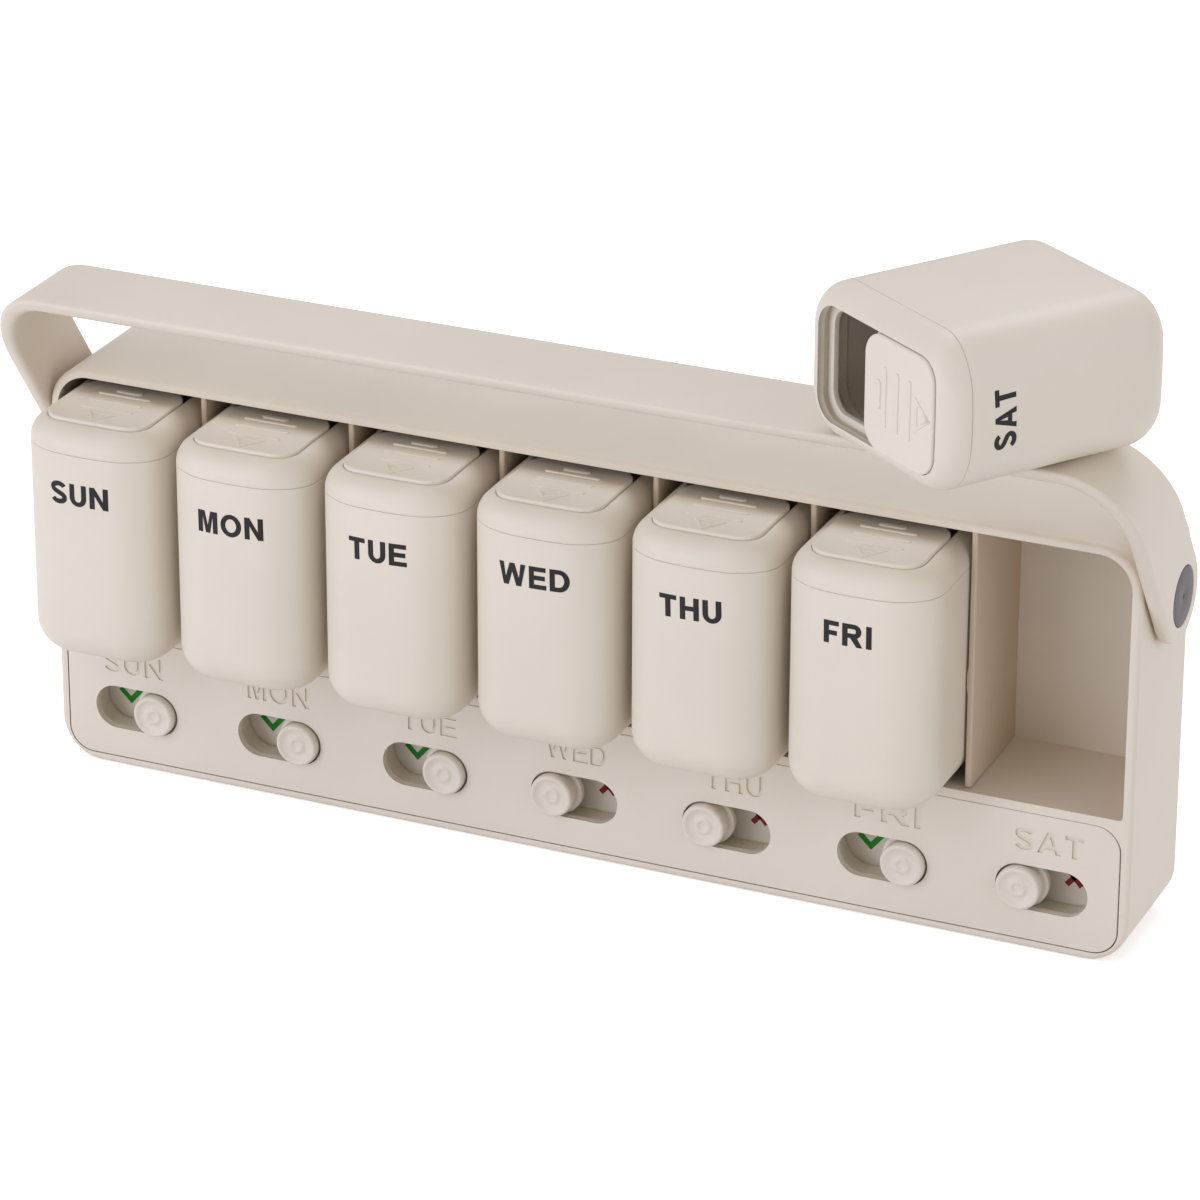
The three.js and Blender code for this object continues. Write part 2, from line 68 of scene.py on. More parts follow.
# Case
PITCH = 37.0
WALL = 2.1
REAR_WALL = 2.5
CASE_CORNER = 10.0
CASE_FRONT_ROUND = 1.3
CASE_BACK_ROUND = 1.0
POCKET_EDGE_ROUND = 0.45
BAY_FLOOR_CORNER = 1.0
SWITCH_BAY_HEIGHT = 30.8
SWITCH_BAY_CORNER = 6.0
STRIP_LEDGE = 1.5
DIVIDER_THICKNESS = 1.4
DIVIDER_EDGE_ROUND = 0.45
DETENT_LENGTH = 7.0
DETENT_DEPTH = 2.2
DETENT_RISE = 0.3
DETENT_HEIGHT_SHARE = 0.41
DETENT_STEPS = 12
DETENT_POINTS = 20

# Switch panel
PANEL_THICKNESS = 2.0
PANEL_EDGE_ROUND = 0.3
# The gaps round the panel: left, bottom, right and top
PANEL_GAPS = (0.12, 0.05, 0.26, 0.12)
SLOT_LENGTH = 21.2
SLOT_HEIGHT = 14.8
SLOT_RADIUS = 5.33
SLOT_EDGE_ROUND = 0.4
COLLAR_GROW = 0.86
COLLAR_WALL = 1.2
PANEL_LETTER_HEIGHT = 5.2
PANEL_LETTER_BASE = 23.8
PANEL_LETTER_DEPTH = 0.4
PANEL_LETTER_WEIGHT = 0.2
# Each engraved word's first and last edge, from the middle of its slot
PANEL_WORD_SPAN = {
    "sun": (-8.2, 7.3),
    "mon": (-7.9, 7.8),
    "tue": (-5.6, 8.0),
    "wed": (-6.6, 8.0),
    "thu": (-5.1, 8.8),
    "fri": (-6.7, 8.8),
    "sat": (-6.5, 9.4),
}

# Marks on the strip, from the slot's centre
TICK_POINTS = [(-8.3, 15.9), (-5.6, 13.2), (-2.2, 17.2)]
CROSS_MIDDLE = (4.9, 15.3)
CROSS_REACH = (1.75, 2.0)
MARK_WIDTH = 1.3
MARK_LIFT = 0.04
LEAST_MITRE = 0.3

# Knob, as radius and depth: its dished face with a raised ring, from the middle outwards, then its
# neck and flange, from the flange's front
KNOB_FACE = [
    (0, 0.72), (0.5, 0.7), (0.9, 0.62), (1.15, 0.42), (1.35, 0.34), (1.6, 0.34), (1.8, 0.42),
    (2.05, 0.62), (2.5, 0.7), (3.1, 0.62), (3.6, 0.42), (3.95, 0.2), (4.15, 0.07), (4.35, 0.0),
    (4.55, 0.02), (4.75, 0.12), (4.92, 0.3), (5.02, 0.52), (5.05, 0.75),
]
KNOB_FLANGE = [
    (5.05, -1.0), (4.98, -0.85), (4.7, -0.8), (4.7, -0.02), (5.75, 0.0), (5.87, 0.06),
    (5.9, 0.2), (5.9, 1.4), (5.8, 1.5), (3.79, 1.5),
]

# Pod, in its own frame: X across, Y back from the label face, Z up
POD_WALL = 1.6
POD_EDGE_RADIUS = 10.5
POD_FOOT_ROUND = 7.5
FRONT_BULGE = 2.5
FRONT_STEPS = 8
POD_BODY_HEIGHT = 51.2
SEAT_GAP = 0.3
SEAM_GAP = 0.08
SEAM_EDGE_ROUND = 0.12
CAP_HEIGHT = 6.2
CAP_ROUND = 6.0
CAP_SKIRT_DEPTH = 2.5
CAP_SKIRT_WALL = 1.4
LIP_INSET = 4.35
LIP_REAR_INSET = 5.3
LIP_RADIUS = 5.5
LIP_THICKNESS = 1.7
LIP_EDGE_ROUND = 0.3
# How far in the cap's round is drawn, and the shares of the way from there to the lip
SHOULDER_END = 3.5
SHOULDER_SHARES = [0.3, 0.6, 0.85]
GROOVE_DEPTH = 0.9
GROOVE_HEIGHT = 1.4
CAP_FLOOR = 1.2
HOLE_LAP = 1.2
HOLE_RADIUS = 4.5
# Inset and depth round the hole's upper edge
HOLE_EDGE = [(0.3, 0.0), (0.08, 0.08), (0.0, 0.3)]
HATCH_LENGTH = 24.0
HATCH_GAP = 0.15
HATCH_PROUD = 0.5
HATCH_EDGE_ROUND = 0.5
HATCH_FLANGE = 0.8
HATCH_WALL = 1.4
HATCH_RIB_RISE = 0.3
HATCH_RIB_WIDTH = 1.2
HATCH_RIB_LENGTH = 13.2
HATCH_RIB_SHARES = [0.33, 0.51, 0.69]
HATCH_END_RIB_RISE = 0.35
HATCH_END_RIB_WIDTH = 1.9
HATCH_END_RIB_LENGTH = 6.5
HATCH_END_RIB_SHARE = 0.79
RIB_ROUND_SHARE = 0.9
RIB_FLARE = 0.12
# How deep a rib's or an arrow's foot is sunk into the hatch
FOOT_SINK = 0.03
ARROW_BASE = 10.3
ARROW_TIP = 5.0
ARROW_HALF = 3.8
ARROW_WIDTH = 0.8
ARROW_RISE = 0.24
ARROW_EDGE_ROUND = 0.1
ARROW_FLARE = 0.04
LABEL_HEIGHT = 5.25
LABEL_LIFT = 0.03
LABEL_WEIGHT = 0.24
LABEL_MESH_SIZE = 0.6
# Each printed word's first and last edge, its foot and its tilt in degrees
LABELS = {
    "sun": (-8.3, 6.36, 39.2, 0.1),
    "mon": (-8.03, 8.12, 38.68, 0.7),
    "tue": (-7.7, 6.45, 38.88, 0.6),
    "wed": (-8.35, 8.42, 39.6, 1.0),
    "thu": (-7.4, 7.08, 38.95, 1.5),
    "fri": (-6.45, 4.52, 39.64, 0.5),
    "sat": (-7.15, 6.18, 40.42, 2.0),
}

# A gap between letters, for letters that are one unit high
LETTER_GAP = 0.15

# The pod on the handle, set in by a tenth so that its finer rounds stay inside the solid's box
LIFTED_YAW = 55.5
LIFTED_SHIFT = -10.73
LIFTED_FORWARD = 3.58

# Handle
STRAP_THICKNESS = 3.6
STRAP_WIDTH = 26.0
STRAP_EDGE_ROUND = 1.5
HANDLE_LEAN = math.radians(35.2)
HANDLE_RISE = 41.9
CORNER_REACH = 15.6
CORNER_DROP = 21.2
STRAP_CORNER_STEPS = 28
DISC_RECESS_GAP = 0.2
DISC_RECESS_DEPTH = 2.2
# Growth and depth round the recess's edge
DISC_RECESS_EDGE = [(0.0, 0.2), (0.06, 0.06), (0.2, 0.0)]

# Pivot disc: its foot's round, inset and depth round its rim, and radius and depth of its dimple
DISC_FOOT_ROUND = 0.1
DISC_RIM = [(0.0, 0.25), (0.08, 0.07), (0.25, 0.0)]
DISC_DIMPLE = [(0.75, 0.0), (0.62, 0.06), (0.5, 0.25), (0.0, 0.3)]

# How far a cutter runs past the face that it opens
OVERRUN = 1.0
# The least radius of a corner that is meant to be sharp
SHARP = 0.02
# What keeps the two arcs of a half-round end from sharing a point
ARC_GAP = 0.001

# Camera, in pixels, degrees and millimetres
IMAGE_SIZE = 1200
FOCAL_PIXELS = 5513.916
PRINCIPAL = (615.075, 471.343)
SENSOR = 36.0
VIEW_AZIMUTH = math.radians(23.651)
VIEW_ELEVATION = math.radians(22.872)
VIEW_ROLL = math.radians(0.212)
VIEW_DISTANCE = 1201.466
VIEW_TARGET_X = 9.774
VIEW_TARGET_Z = 95.891
# In metres
VIEW_NEAR = 0.05
VIEW_FAR = 20.0

# Light and floor, in metres and watts
FLOOR_HALF = 3.0
FLOOR_COLOUR = (0.82, 0.815, 0.81, 1.0)
FLOOR_ROUGHNESS = 0.9
FLOOR_GLOW = 0.5
AMBIENT = 0.535
AMBIENT_COLOUR = (1.02, 1.0, 0.98, 1.0)
WHITE = (1.0, 1.0, 1.0, 1.0)
LAMP_COLOUR = (0.945, 1.0, 1.22)
LAMP_TARGET = (0, 0, 0.08)
# Each lamp's place, size and power
LAMPS = {
    "key_left": ((-0.9, -1.5, 1.5), (1.1, 1.1), 7.0),
    "front_left": ((-1.2, -1.4, 0.3), (1.1, 1.1), 5.9),
    "low_left": ((-0.8, -1.4, 0.16), (1.1, 0.3), 4.5),
    "right": ((1.7, -0.4, 0.7), (1.1, 1.1), 6.3),
    "top_back": ((0.0, 1.0, 1.5), (1.1, 1.1), 9.7),
}

# Plastic: the flow in its colour and gloss, and its grain
FLOW_SCALE = 22.0
FLOW_DETAIL = 3.0
FLOW_RANGE = (0.3, 0.7)
GLOSS_SPREAD = 0.04
GRAIN_SCALE = 2600.0
GRAIN_DETAIL = 2.0
GRAIN_DEPTH = 0.0002

# Sizes that follow
CASE_HALF = case_high.x
BAY_HALF = CASE_HALF - WALL
CASE_TOP = case_high.z
CASE_FRONT = case_low.y
CASE_BACK = case_high.y
REAR_INNER = CASE_BACK - REAR_WALL
SWITCH_BAY_TOP = WALL + SWITCH_BAY_HEIGHT
BAY_FLOOR = SWITCH_BAY_TOP + WALL
BAY_TOP = CASE_TOP - WALL
POD_HALF = (pod_high.x - pod_low.x) / 2
POD_DEPTH = pod_high.y - pod_low.y
CAP_BOTTOM = POD_BODY_HEIGHT + SEAT_GAP
CAP_TOP = CAP_BOTTOM + CAP_HEIGHT
HATCH_TOP = CAP_TOP + HATCH_PROUD
POD_HEIGHT = HATCH_TOP + HATCH_END_RIB_RISE
ARM_HALF = STRAP_WIDTH / 2 * math.cos(HANDLE_LEAN)
PIVOT_HEIGHT = (disc_low.z + disc_high.z) / 2
ARM_OUTER = handle_high.x
ARM_INNER = ARM_OUTER - STRAP_THICKNESS
BAR_TOP = handle_high.z
DISC_RADIUS = (disc_high.z - disc_low.z) / 2

# Facets
CORNER_STEPS = 14
SLOT_STEPS = 16
SMALL_CORNER_STEPS = 6
STRIP_CORNER_STEPS = 8
ROUND_STEPS = 8
FOOT_STEPS = 14
CAP_STEPS = 28
EDGE_STEPS = 5
LIP_STEPS = 4
SEAM_STEPS = 3
LATHE_STEPS = 72
CREASE_ANGLE = 32.0


def day_x(index):
    """The middle of a day's bay."""
    return (index - (len(DAYS) - 1) / 2) * PITCH


# Mesh building

def make_object(name, vertices, faces, smooth_angle=CREASE_ANGLE):
    """A mesh object from millimetre points, smooth but for edges sharper than the angle."""
    mesh = bpy.data.meshes.new(name)
    bm = bmesh.new()
    points = [bm.verts.new(Vector(v) * MM) for v in vertices]
    for face in faces:
        bm.faces.new([points[i] for i in face])
    bmesh.ops.recalc_face_normals(bm, faces=bm.faces)
    bm.to_mesh(mesh)
    bm.free()
    obj = bpy.data.objects.new(name, mesh)
    bpy.context.scene.collection.objects.link(obj)
    set_smooth(obj, smooth_angle)
    return obj


def set_smooth(obj, angle=CREASE_ANGLE):
    """Shades the mesh smooth and keeps a crease where two faces meet at more than the angle."""
    limit = math.radians(angle)
    bm = bmesh.new()
    bm.from_mesh(obj.data)
    for face in bm.faces:
        face.smooth = True
    for edge in bm.edges:
        edge.smooth = len(edge.link_faces) == 2 and edge.calc_face_angle(0.0) < limit
    bm.to_mesh(obj.data)
    bm.free()


def loft_faces(ring_count, size, wrap):
    """The faces between rings, and those that close the first and the last ring unless it wraps."""
    faces = []
    last = ring_count if wrap else ring_count - 1
    for ring in range(last):
        nxt = (ring + 1) % ring_count
        for i in range(size):
            j = (i + 1) % size
            faces.append((ring * size + i, ring * size + j, nxt * size + j, nxt * size + i))
    if not wrap:
        faces.append(tuple(range(size)))
        faces.append(tuple((ring_count - 1) * size + i for i in range(size)))
    return faces


def loft(name, rings, wrap=False, smooth_angle=CREASE_ANGLE):
    """A closed skin over rings with the same number of points, capped flat or joined end to end."""
    vertices = [point for ring in rings for point in ring]
    return make_object(name, vertices, loft_faces(len(rings), len(rings[0]), wrap), smooth_angle)


def rounded_rectangle(low, high, radii, steps=CORNER_STEPS):
    """An outline with round corners, counter-clockwise from the low corner."""
    corners = [
        (low[0], low[1], 1, 1),
        (high[0], low[1], -1, 1),
        (high[0], high[1], -1, -1),
        (low[0], high[1], 1, -1),
    ]
    points = []
    for corner, (x, y, in_x, in_y) in enumerate(corners):
        radius = radii[corner]
        for step in range(steps + 1):
            angle = math.pi + corner * math.pi / 2 + step / steps * math.pi / 2
            points.append((
                x + radius * (in_x + math.cos(angle)),
                y + radius * (in_y + math.sin(angle)),
            ))
    return points


def inset_outline(low, high, radii, inset, steps=CORNER_STEPS):
    """The same outline drawn in by an inset, with the corners kept concentric."""
    return rounded_rectangle(
        (low[0] + inset, low[1] + inset),
        (high[0] - inset, high[1] - inset),
        [max(radius - inset, SHARP) for radius in radii],
        steps,
    )


def quarter_round(radius, steps=ROUND_STEPS):
    """Inset and depth at each step of a quarter-round edge, from the drawn-in end to the full one."""
    angles = [step / steps * math.pi / 2 for step in range(steps + 1)]
    return [(radius * (1 - math.sin(a)), radius * (1 - math.cos(a))) for a in angles]


def ring_across(outline, y):
    """An outline in X and Z at one place along Y."""
    return [(x, y, z) for x, z in outline]


def ring_level(outline, z):
    """An outline in X and Y at one height."""
    return [(x, y, z) for x, y in outline]


def lathe(name, profile, steps=LATHE_STEPS):
    """A body of revolution about Y from (radius, y) pairs that start and end on the axis."""
    vertices = [(0, profile[0][1], 0)]
    for radius, y in profile[1:-1]:
        for step in range(steps):
            angle = step / steps * 2 * math.pi
            vertices.append((radius * math.cos(angle), y, radius * math.sin(angle)))
    vertices.append((0, profile[-1][1], 0))
    end = len(vertices) - 1
    faces = []
    for step in range(steps):
        nxt = (step + 1) % steps
        faces.append((0, 1 + nxt, 1 + step))
        faces.append((end, end - steps + step, end - steps + nxt))
        for ring in range(len(profile) - 3):
            a = 1 + ring * steps
            b = a + steps
            faces.append((a + step, a + nxt, b + nxt, b + step))
    return make_object(name, vertices, faces)


def boolean(obj, others, operation):
    """Cuts or joins the other objects and removes them."""
    for other in others:
        modifier = obj.modifiers.new("bool", "BOOLEAN")
        modifier.operation = operation
        modifier.solver = "MANIFOLD"
        modifier.object = other
    graph = bpy.context.evaluated_depsgraph_get()
    mesh = bpy.data.meshes.new_from_object(obj.evaluated_get(graph))
    obj.modifiers.clear()
    obj.data = mesh
    for other in others:
        bpy.data.objects.remove(other)
    set_smooth(obj)
    return obj


def join(objects):
    """One object that holds the meshes of several, in the first one's place."""
    first = objects[0]
    bm = bmesh.new()
    for obj in objects:
        copy = obj.data.copy()
        copy.transform(obj.matrix_world)
        bm.from_mesh(copy)
        bpy.data.meshes.remove(copy)
    bm.to_mesh(first.data)
    bm.free()
    first.matrix_world = Matrix.Identity(4)
    for obj in objects[1:]:
        bpy.data.objects.remove(obj)
    return first


def place(obj, matrix):
    """Moves the mesh itself, by a matrix whose shift is in millimetres."""
    shift = matrix.copy()
    shift.translation = matrix.translation * MM
    obj.data.transform(shift)
    if shift.determinant() < 0:
        obj.data.flip_normals()
    return obj


def finish_piece(obj, material, body, slot, *nodes):
    """Gives a piece its material and its body, and hides the solids that it stands for. The slot is not used.
    """
    obj.data.materials.clear()
    obj.data.materials.append(material)
    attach(obj, body)
    if nodes:
        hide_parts(*nodes)
    return obj


# Materials

def srgb(red, green, blue):
    """Linear values of a colour given as 0 to 255."""
    def linear(value):
        share = value / 255
        return share / 12.92 if share <= 0.04045 else ((share + 0.055) / 1.055) ** 2.4
    return (linear(red), linear(green), linear(blue), 1.0)


def moulded_plastic(name, colour, roughness, grain=0.05, specular=0.45, tint=0.03):
    """Moulded plastic: a fine spark-eroded grain, a faint flow in the colour and an uneven gloss."""
    material = bpy.data.materials.new(name)
    material.use_nodes = True
    nodes = material.node_tree.nodes
    links = material.node_tree.links
    shader = nodes["Principled BSDF"]
    shader.inputs["Specular IOR Level"].default_value = specular

    coordinates = nodes.new("ShaderNodeTexCoord")
    flow = nodes.new("ShaderNodeTexNoise")
    flow.inputs["Scale"].default_value = FLOW_SCALE
    flow.inputs["Detail"].default_value = FLOW_DETAIL
    links.new(coordinates.outputs["Object"], flow.inputs["Vector"])
    ramp = nodes.new("ShaderNodeValToRGB")
    dark = [channel * (1 - tint) for channel in colour[:3]]
    light = [min(channel * (1 + tint), 1.0) for channel in colour[:3]]
    for element, position, shade in zip(ramp.color_ramp.elements, FLOW_RANGE, (dark, light)):
        element.position = position
        element.color = (*shade, 1.0)
    links.new(flow.outputs["Fac"], ramp.inputs["Fac"])
    links.new(ramp.outputs["Color"], shader.inputs["Base Color"])

    gloss = nodes.new("ShaderNodeMapRange")
    gloss.inputs["To Min"].default_value = roughness - GLOSS_SPREAD
    gloss.inputs["To Max"].default_value = roughness + GLOSS_SPREAD
    links.new(flow.outputs["Fac"], gloss.inputs["Value"])
    links.new(gloss.outputs["Result"], shader.inputs["Roughness"])

    fine = nodes.new("ShaderNodeTexNoise")
    fine.inputs["Scale"].default_value = GRAIN_SCALE
    fine.inputs["Detail"].default_value = GRAIN_DETAIL
    links.new(coordinates.outputs["Object"], fine.inputs["Vector"])
    bump = nodes.new("ShaderNodeBump")
    bump.inputs["Strength"].default_value = grain
    bump.inputs["Distance"].default_value = GRAIN_DEPTH
    links.new(fine.outputs["Fac"], bump.inputs["Height"])
    links.new(bump.outputs["Normal"], shader.inputs["Normal"])
    return material


def printed_ink(name, colour, roughness):
    """Ink that lies on the plastic, with a slight mottle where it is thin."""
    return moulded_plastic(name, colour, roughness, grain=0.08, specular=0.35, tint=0.12)


def metal(name, colour, roughness):
    """Plain turned metal with a fine grain."""
    material = moulded_plastic(name, colour, roughness, grain=0.1)
    material.node_tree.nodes["Principled BSDF"].inputs["Metallic"].default_value = 1.0
    return material


case_plastic = moulded_plastic("case_plastic", srgb(222, 210, 192), 0.48)
# The dividers' plastic: the case's ivory painted darker and browner, as painted shade for the deep bays
# between the pods
painted_shade_plastic = moulded_plastic("painted_shade_plastic", srgb(207, 188, 163), 0.5)
panel_plastic = moulded_plastic("panel_plastic", srgb(222, 211, 194), 0.5)
pod_plastic = moulded_plastic("pod_plastic", srgb(222, 211, 193), 0.46)
hatch_plastic = moulded_plastic("hatch_plastic", srgb(224, 213, 196), 0.46)
knob_plastic = moulded_plastic("knob_plastic", srgb(221, 210, 194), 0.42)
strip_plastic = moulded_plastic("strip_plastic", srgb(222, 212, 196), 0.55)
disc_plastic = moulded_plastic("disc_plastic", srgb(98, 93, 91), 0.55)
pin_metal = metal("pin_metal", srgb(150, 148, 145), 0.35)
label_ink = printed_ink("label_ink", srgb(20, 14, 11), 0.6)
tick_ink = printed_ink("tick_ink", srgb(12, 126, 6), 0.5)
cross_ink = printed_ink("cross_ink", srgb(132, 10, 26), 0.5)


# Lettering: capitals as outlines, one unit high, each with its width

def arc(centre, radii, start, end, steps=20):
    """Points along an ellipse, between two angles in degrees."""
    points = []
    for step in range(steps + 1):
        angle = math.radians(start + (end - start) * step / steps)
        points.append((centre[0] + radii[0] * math.cos(angle), centre[1] + radii[1] * math.sin(angle)))
    return points


def mirrored(points, width):
    """The outline of a letter that is the same on both sides, from its left half."""
    return points + [(width - x, y) for x, y in reversed(points)]


def ribbon(spine, half):
    """The outline of a stroke that follows a curved spine."""
    left = []
    right = []
    for i, point in enumerate(spine):
        before = Vector(spine[max(i - 1, 0)])
        after = Vector(spine[min(i + 1, len(spine) - 1)])
        along = (after - before).normalized()
        side = Vector((-along.y, along.x)) * half
        left.append(tuple(Vector(point) + side))
        right.append(tuple(Vector(point) - side))
    return left + right[::-1]


def letter_outlines(letter, stem):
    """The letter's contours, its outer one first, and its width. Bars are thinner than stems."""
    bar = stem * 0.87
    low = 0.51 - bar / 2
    high = 0.51 + bar / 2
    if letter == "I":
        return [[(0, 0), (stem, 0), (stem, 1), (0, 1)]], stem
    if letter == "T":
        half = [(0, 1), (0, 1 - bar), (0.385 - stem / 2, 1 - bar), (0.385 - stem / 2, 0)]
        return [mirrored(half, 0.77)], 0.77
    if letter == "H":
        half = [(0, 1), (0, 0), (stem, 0), (stem, low)]
        notch = [(0.83 - stem, 1), (0.83 - stem, high), (stem, high), (stem, 1)]
        return [mirrored(half, 0.83) + notch], 0.83
    if letter == "E":
        return [[
            (0, 0), (0.8, 0), (0.8, bar), (stem, bar), (stem, low), (0.74, low), (0.74, high),
            (stem, high), (stem, 1 - bar), (0.78, 1 - bar), (0.78, 1), (0, 1),
        ]], 0.8
    if letter == "F":
        return [[
            (0, 0), (stem, 0), (stem, low - 0.04), (0.6, low - 0.04), (0.6, high - 0.04),
            (stem, high - 0.04), (stem, 1 - bar), (0.68, 1 - bar), (0.68, 1), (0, 1),
        ]], 0.68
    if letter == "N":
        foot = 0.9 - 1.2 * stem
        return [[
            (0, 0), (stem, 0), (stem, foot), (0.86 - stem, 0), (0.86, 0),
            (0.86, 1), (0.86 - stem, 1), (0.86 - stem, 1 - foot), (stem, 1), (0, 1),
        ]], 0.86
    if letter == "M":
        half = [
            (0.49 - stem * 0.45, 0), (stem, 0.97 - stem), (stem, 0), (0, 0), (0, 1),
            (stem * 1.45, 1), (0.49, 1.5 * stem),
        ]
        return [half + [(0.98 - x, y) for x, y in reversed(half[:-1])]], 0.98
    if letter == "W":
        half = [
            (0.64, 1 - 1.65 * stem), (0.22 + stem, 0), (0.22, 0), (0, 1), (stem, 1),
            (0.325, 0.365), (0.64 - stem / 2, 1),
        ]
        return [half + [(1.28 - x, y) for x, y in reversed(half[1:])]], 1.28
    if letter == "A":
        half = [(0.27 + 0.1 * stem, 0.21), (stem * 1.08, 0), (0, 0), (0.485 - stem / 2, 1)]
        rise = 0.21 + bar
        hole = [(stem + rise * 0.4, rise), (0.97 - stem - rise * 0.4, rise), (0.485, 0.77)]
        return [mirrored(half, 0.97), hole], 0.97
    if letter == "U":
        outer = arc((0.4, 0.39), (0.4, 0.405), 180, 360)
        inner = arc((0.4, 0.39), (0.4 - stem, 0.405 - bar), 360, 180)
        return [[(0, 1), *outer, (0.8, 1), (0.8 - stem, 1), *inner, (stem, 1)]], 0.8
    if letter == "O":
        hole = arc((0.5, 0.5), (0.5 - stem, 0.515 - bar), 0, 350, 35)
        return [arc((0.5, 0.5), (0.5, 0.515), 0, 350, 35), hole], 1.0
    if letter == "D":
        outer = [(0, 0), *arc((0.43, 0.5), (0.46, 0.5), -90, 90), (0, 1)]
        hole = [(stem, bar), *arc((0.41, 0.5), (0.48 - stem, 0.5 - bar), -90, 90), (stem, 1 - bar)]
        return [outer, hole], 0.89
    if letter == "R":
        bowl = arc((0.53, 0.69), (0.31, 0.31), -66, 90)
        outer = [
            (0, 0), (stem, 0), (stem, 0.38), (0.59 - stem, 0.38), (0.63, 0), (0.89, 0), *bowl, (0, 1),
        ]
        hole = [(stem, 0.38 + bar), *arc((0.52, 0.69), (0.32 - stem, 0.31 - bar), -90, 90), (stem, 1 - bar)]
        return [outer, hole], 0.89
    spine = arc((0.39, 0.725), (0.28, 0.185), 18, 235) + arc((0.39, 0.275), (0.29, 0.19), 55, -162)
    return [ribbon(spine, stem * 0.47)], 0.78


def word_mesh(name, word, height, span, depth, weight):
    """A word in X and Z with its foot at Z 0, a flat sheet or a solid of some depth."""
    letters = []
    reach = 0.0
    for letter in word:
        contours, width = letter_outlines(letter, weight)
        letters.append([[(x + reach, y) for x, y in contour] for contour in contours])
        reach += width + LETTER_GAP
    stretch = (span[1] - span[0]) / (reach - LETTER_GAP)
    vertices = []
    faces = []
    for contours in letters:
        first = len(vertices)
        flat = [(span[0] + x * stretch, y * height) for contour in contours for x, y in contour]
        sheet = tessellate_polygon([[Vector((x, y, 0)) for x, y in contour] for contour in contours])
        vertices += [(x, 0, z) for x, z in flat]
        faces += [tuple(first + i for i in triangle) for triangle in sheet]
        if not depth:
            continue
        back = first + len(flat)
        vertices += [(x, depth, z) for x, z in flat]
        faces += [tuple(back + i for i in reversed(triangle)) for triangle in sheet]
        start = 0
        for contour in contours:
            for i in range(len(contour)):
                a = start + i
                b = start + (i + 1) % len(contour)
                faces.append((first + a, first + b, back + b, back + a))
            start += len(contour)
    return make_object(name, vertices, faces, smooth_angle=20)


# Case

case_flat = ((-CASE_HALF, 0.0), (CASE_HALF, CASE_TOP), [CASE_CORNER] * 4)
bay_flat = (
    (-BAY_HALF, BAY_FLOOR),
    (BAY_HALF, BAY_TOP),
    [BAY_FLOOR_CORNER, BAY_FLOOR_CORNER, CASE_CORNER - WALL, CASE_CORNER - WALL],
)
switch_flat = ((-BAY_HALF, WALL), (BAY_HALF, SWITCH_BAY_TOP), [SWITCH_BAY_CORNER] * 4)


def pocket_cutter(name, flat, to, flare):
    """A cutter from before the case's front to a depth, flared at the mouth to round its edge."""
    rings = [ring_across(inset_outline(*flat, -flare), CASE_FRONT - OVERRUN)]
    rings += [
        ring_across(inset_outline(*flat, depth - flare), CASE_FRONT + inset)
        for inset, depth in reversed(quarter_round(flare, EDGE_STEPS))
    ]
    rings.append(ring_across(inset_outline(*flat, 0), to))
    return loft(name, rings)


def make_case():
    """The case's round block with the bays, the switch bay and the strip's ledge cut out."""
    rings = [
        ring_across(inset_outline(*case_flat, inset), CASE_FRONT + depth)
        for inset, depth in quarter_round(CASE_FRONT_ROUND)
    ]
    rings += [
        ring_across(inset_outline(*case_flat, inset), CASE_BACK - depth)
        for inset, depth in reversed(quarter_round(CASE_BACK_ROUND))
    ]
    shell = loft("case", rings)
    bays = pocket_cutter("bays", bay_flat, REAR_INNER, POCKET_EDGE_ROUND)
    front = pocket_cutter("switch_front", switch_flat, strip_high.y, POCKET_EDGE_ROUND)
    back = loft(
        "switch_back",
        [
            ring_across(inset_outline(*switch_flat, STRIP_LEDGE), y)
            for y in (strip_high.y - OVERRUN, REAR_INNER)
        ],
    )
    boolean(shell, [bays, front, back], "DIFFERENCE")
    finish_piece(shell, case_plastic, "case", "body", "case_shell")


def make_detent(x, front, middle_z):
    """A bump that stands on a divider's left face, full in the middle and drawn in at its ends."""
    angles = [point / DETENT_POINTS * 2 * math.pi for point in range(DETENT_POINTS)]
    rings = []
    for step in range(DETENT_STEPS + 1):
        share = step / DETENT_STEPS * 2 - 1
        bulge = max(math.sqrt(max(1 - share**4, 0)), SHARP)
        z = middle_z + share * DETENT_LENGTH / 2
        rings.append([
            (x + DETENT_RISE * bulge * math.cos(a), front + DETENT_DEPTH / 2 * (1 + bulge * math.sin(a)), z)
            for a in angles
        ])
    return loft("detent", rings, smooth_angle=60)


def make_dividers():
    """A plate with a detent between each two bays."""
    half = DIVIDER_THICKNESS / 2
    front = divider_low.y
    detent_z = BAY_FLOOR + DETENT_HEIGHT_SHARE * (BAY_TOP - BAY_FLOOR)
    for index in range(len(DAYS) - 1):
        x = (day_x(index) + day_x(index + 1)) / 2
        radii = [DIVIDER_EDGE_ROUND, DIVIDER_EDGE_ROUND, SHARP, SHARP]
        outline = rounded_rectangle((-half, front), (half, REAR_INNER), radii, SMALL_CORNER_STEPS)
        plate = loft("divider", [ring_level(outline, BAY_FLOOR), ring_level(outline, BAY_TOP)])
        bump = make_detent(-half, front, detent_z)
        piece = join([plate, bump])
        piece.name = f"bay_divider_{index + 1}"
        place(piece, Matrix.Translation((x, 0, 0)))
        # The divider takes the darker, browner plastic: painted shade for the bay between two pods
        finish_piece(piece, painted_shade_plastic, "case", "body", f"divider_{index + 1}")


# Switch panel, marks and knobs

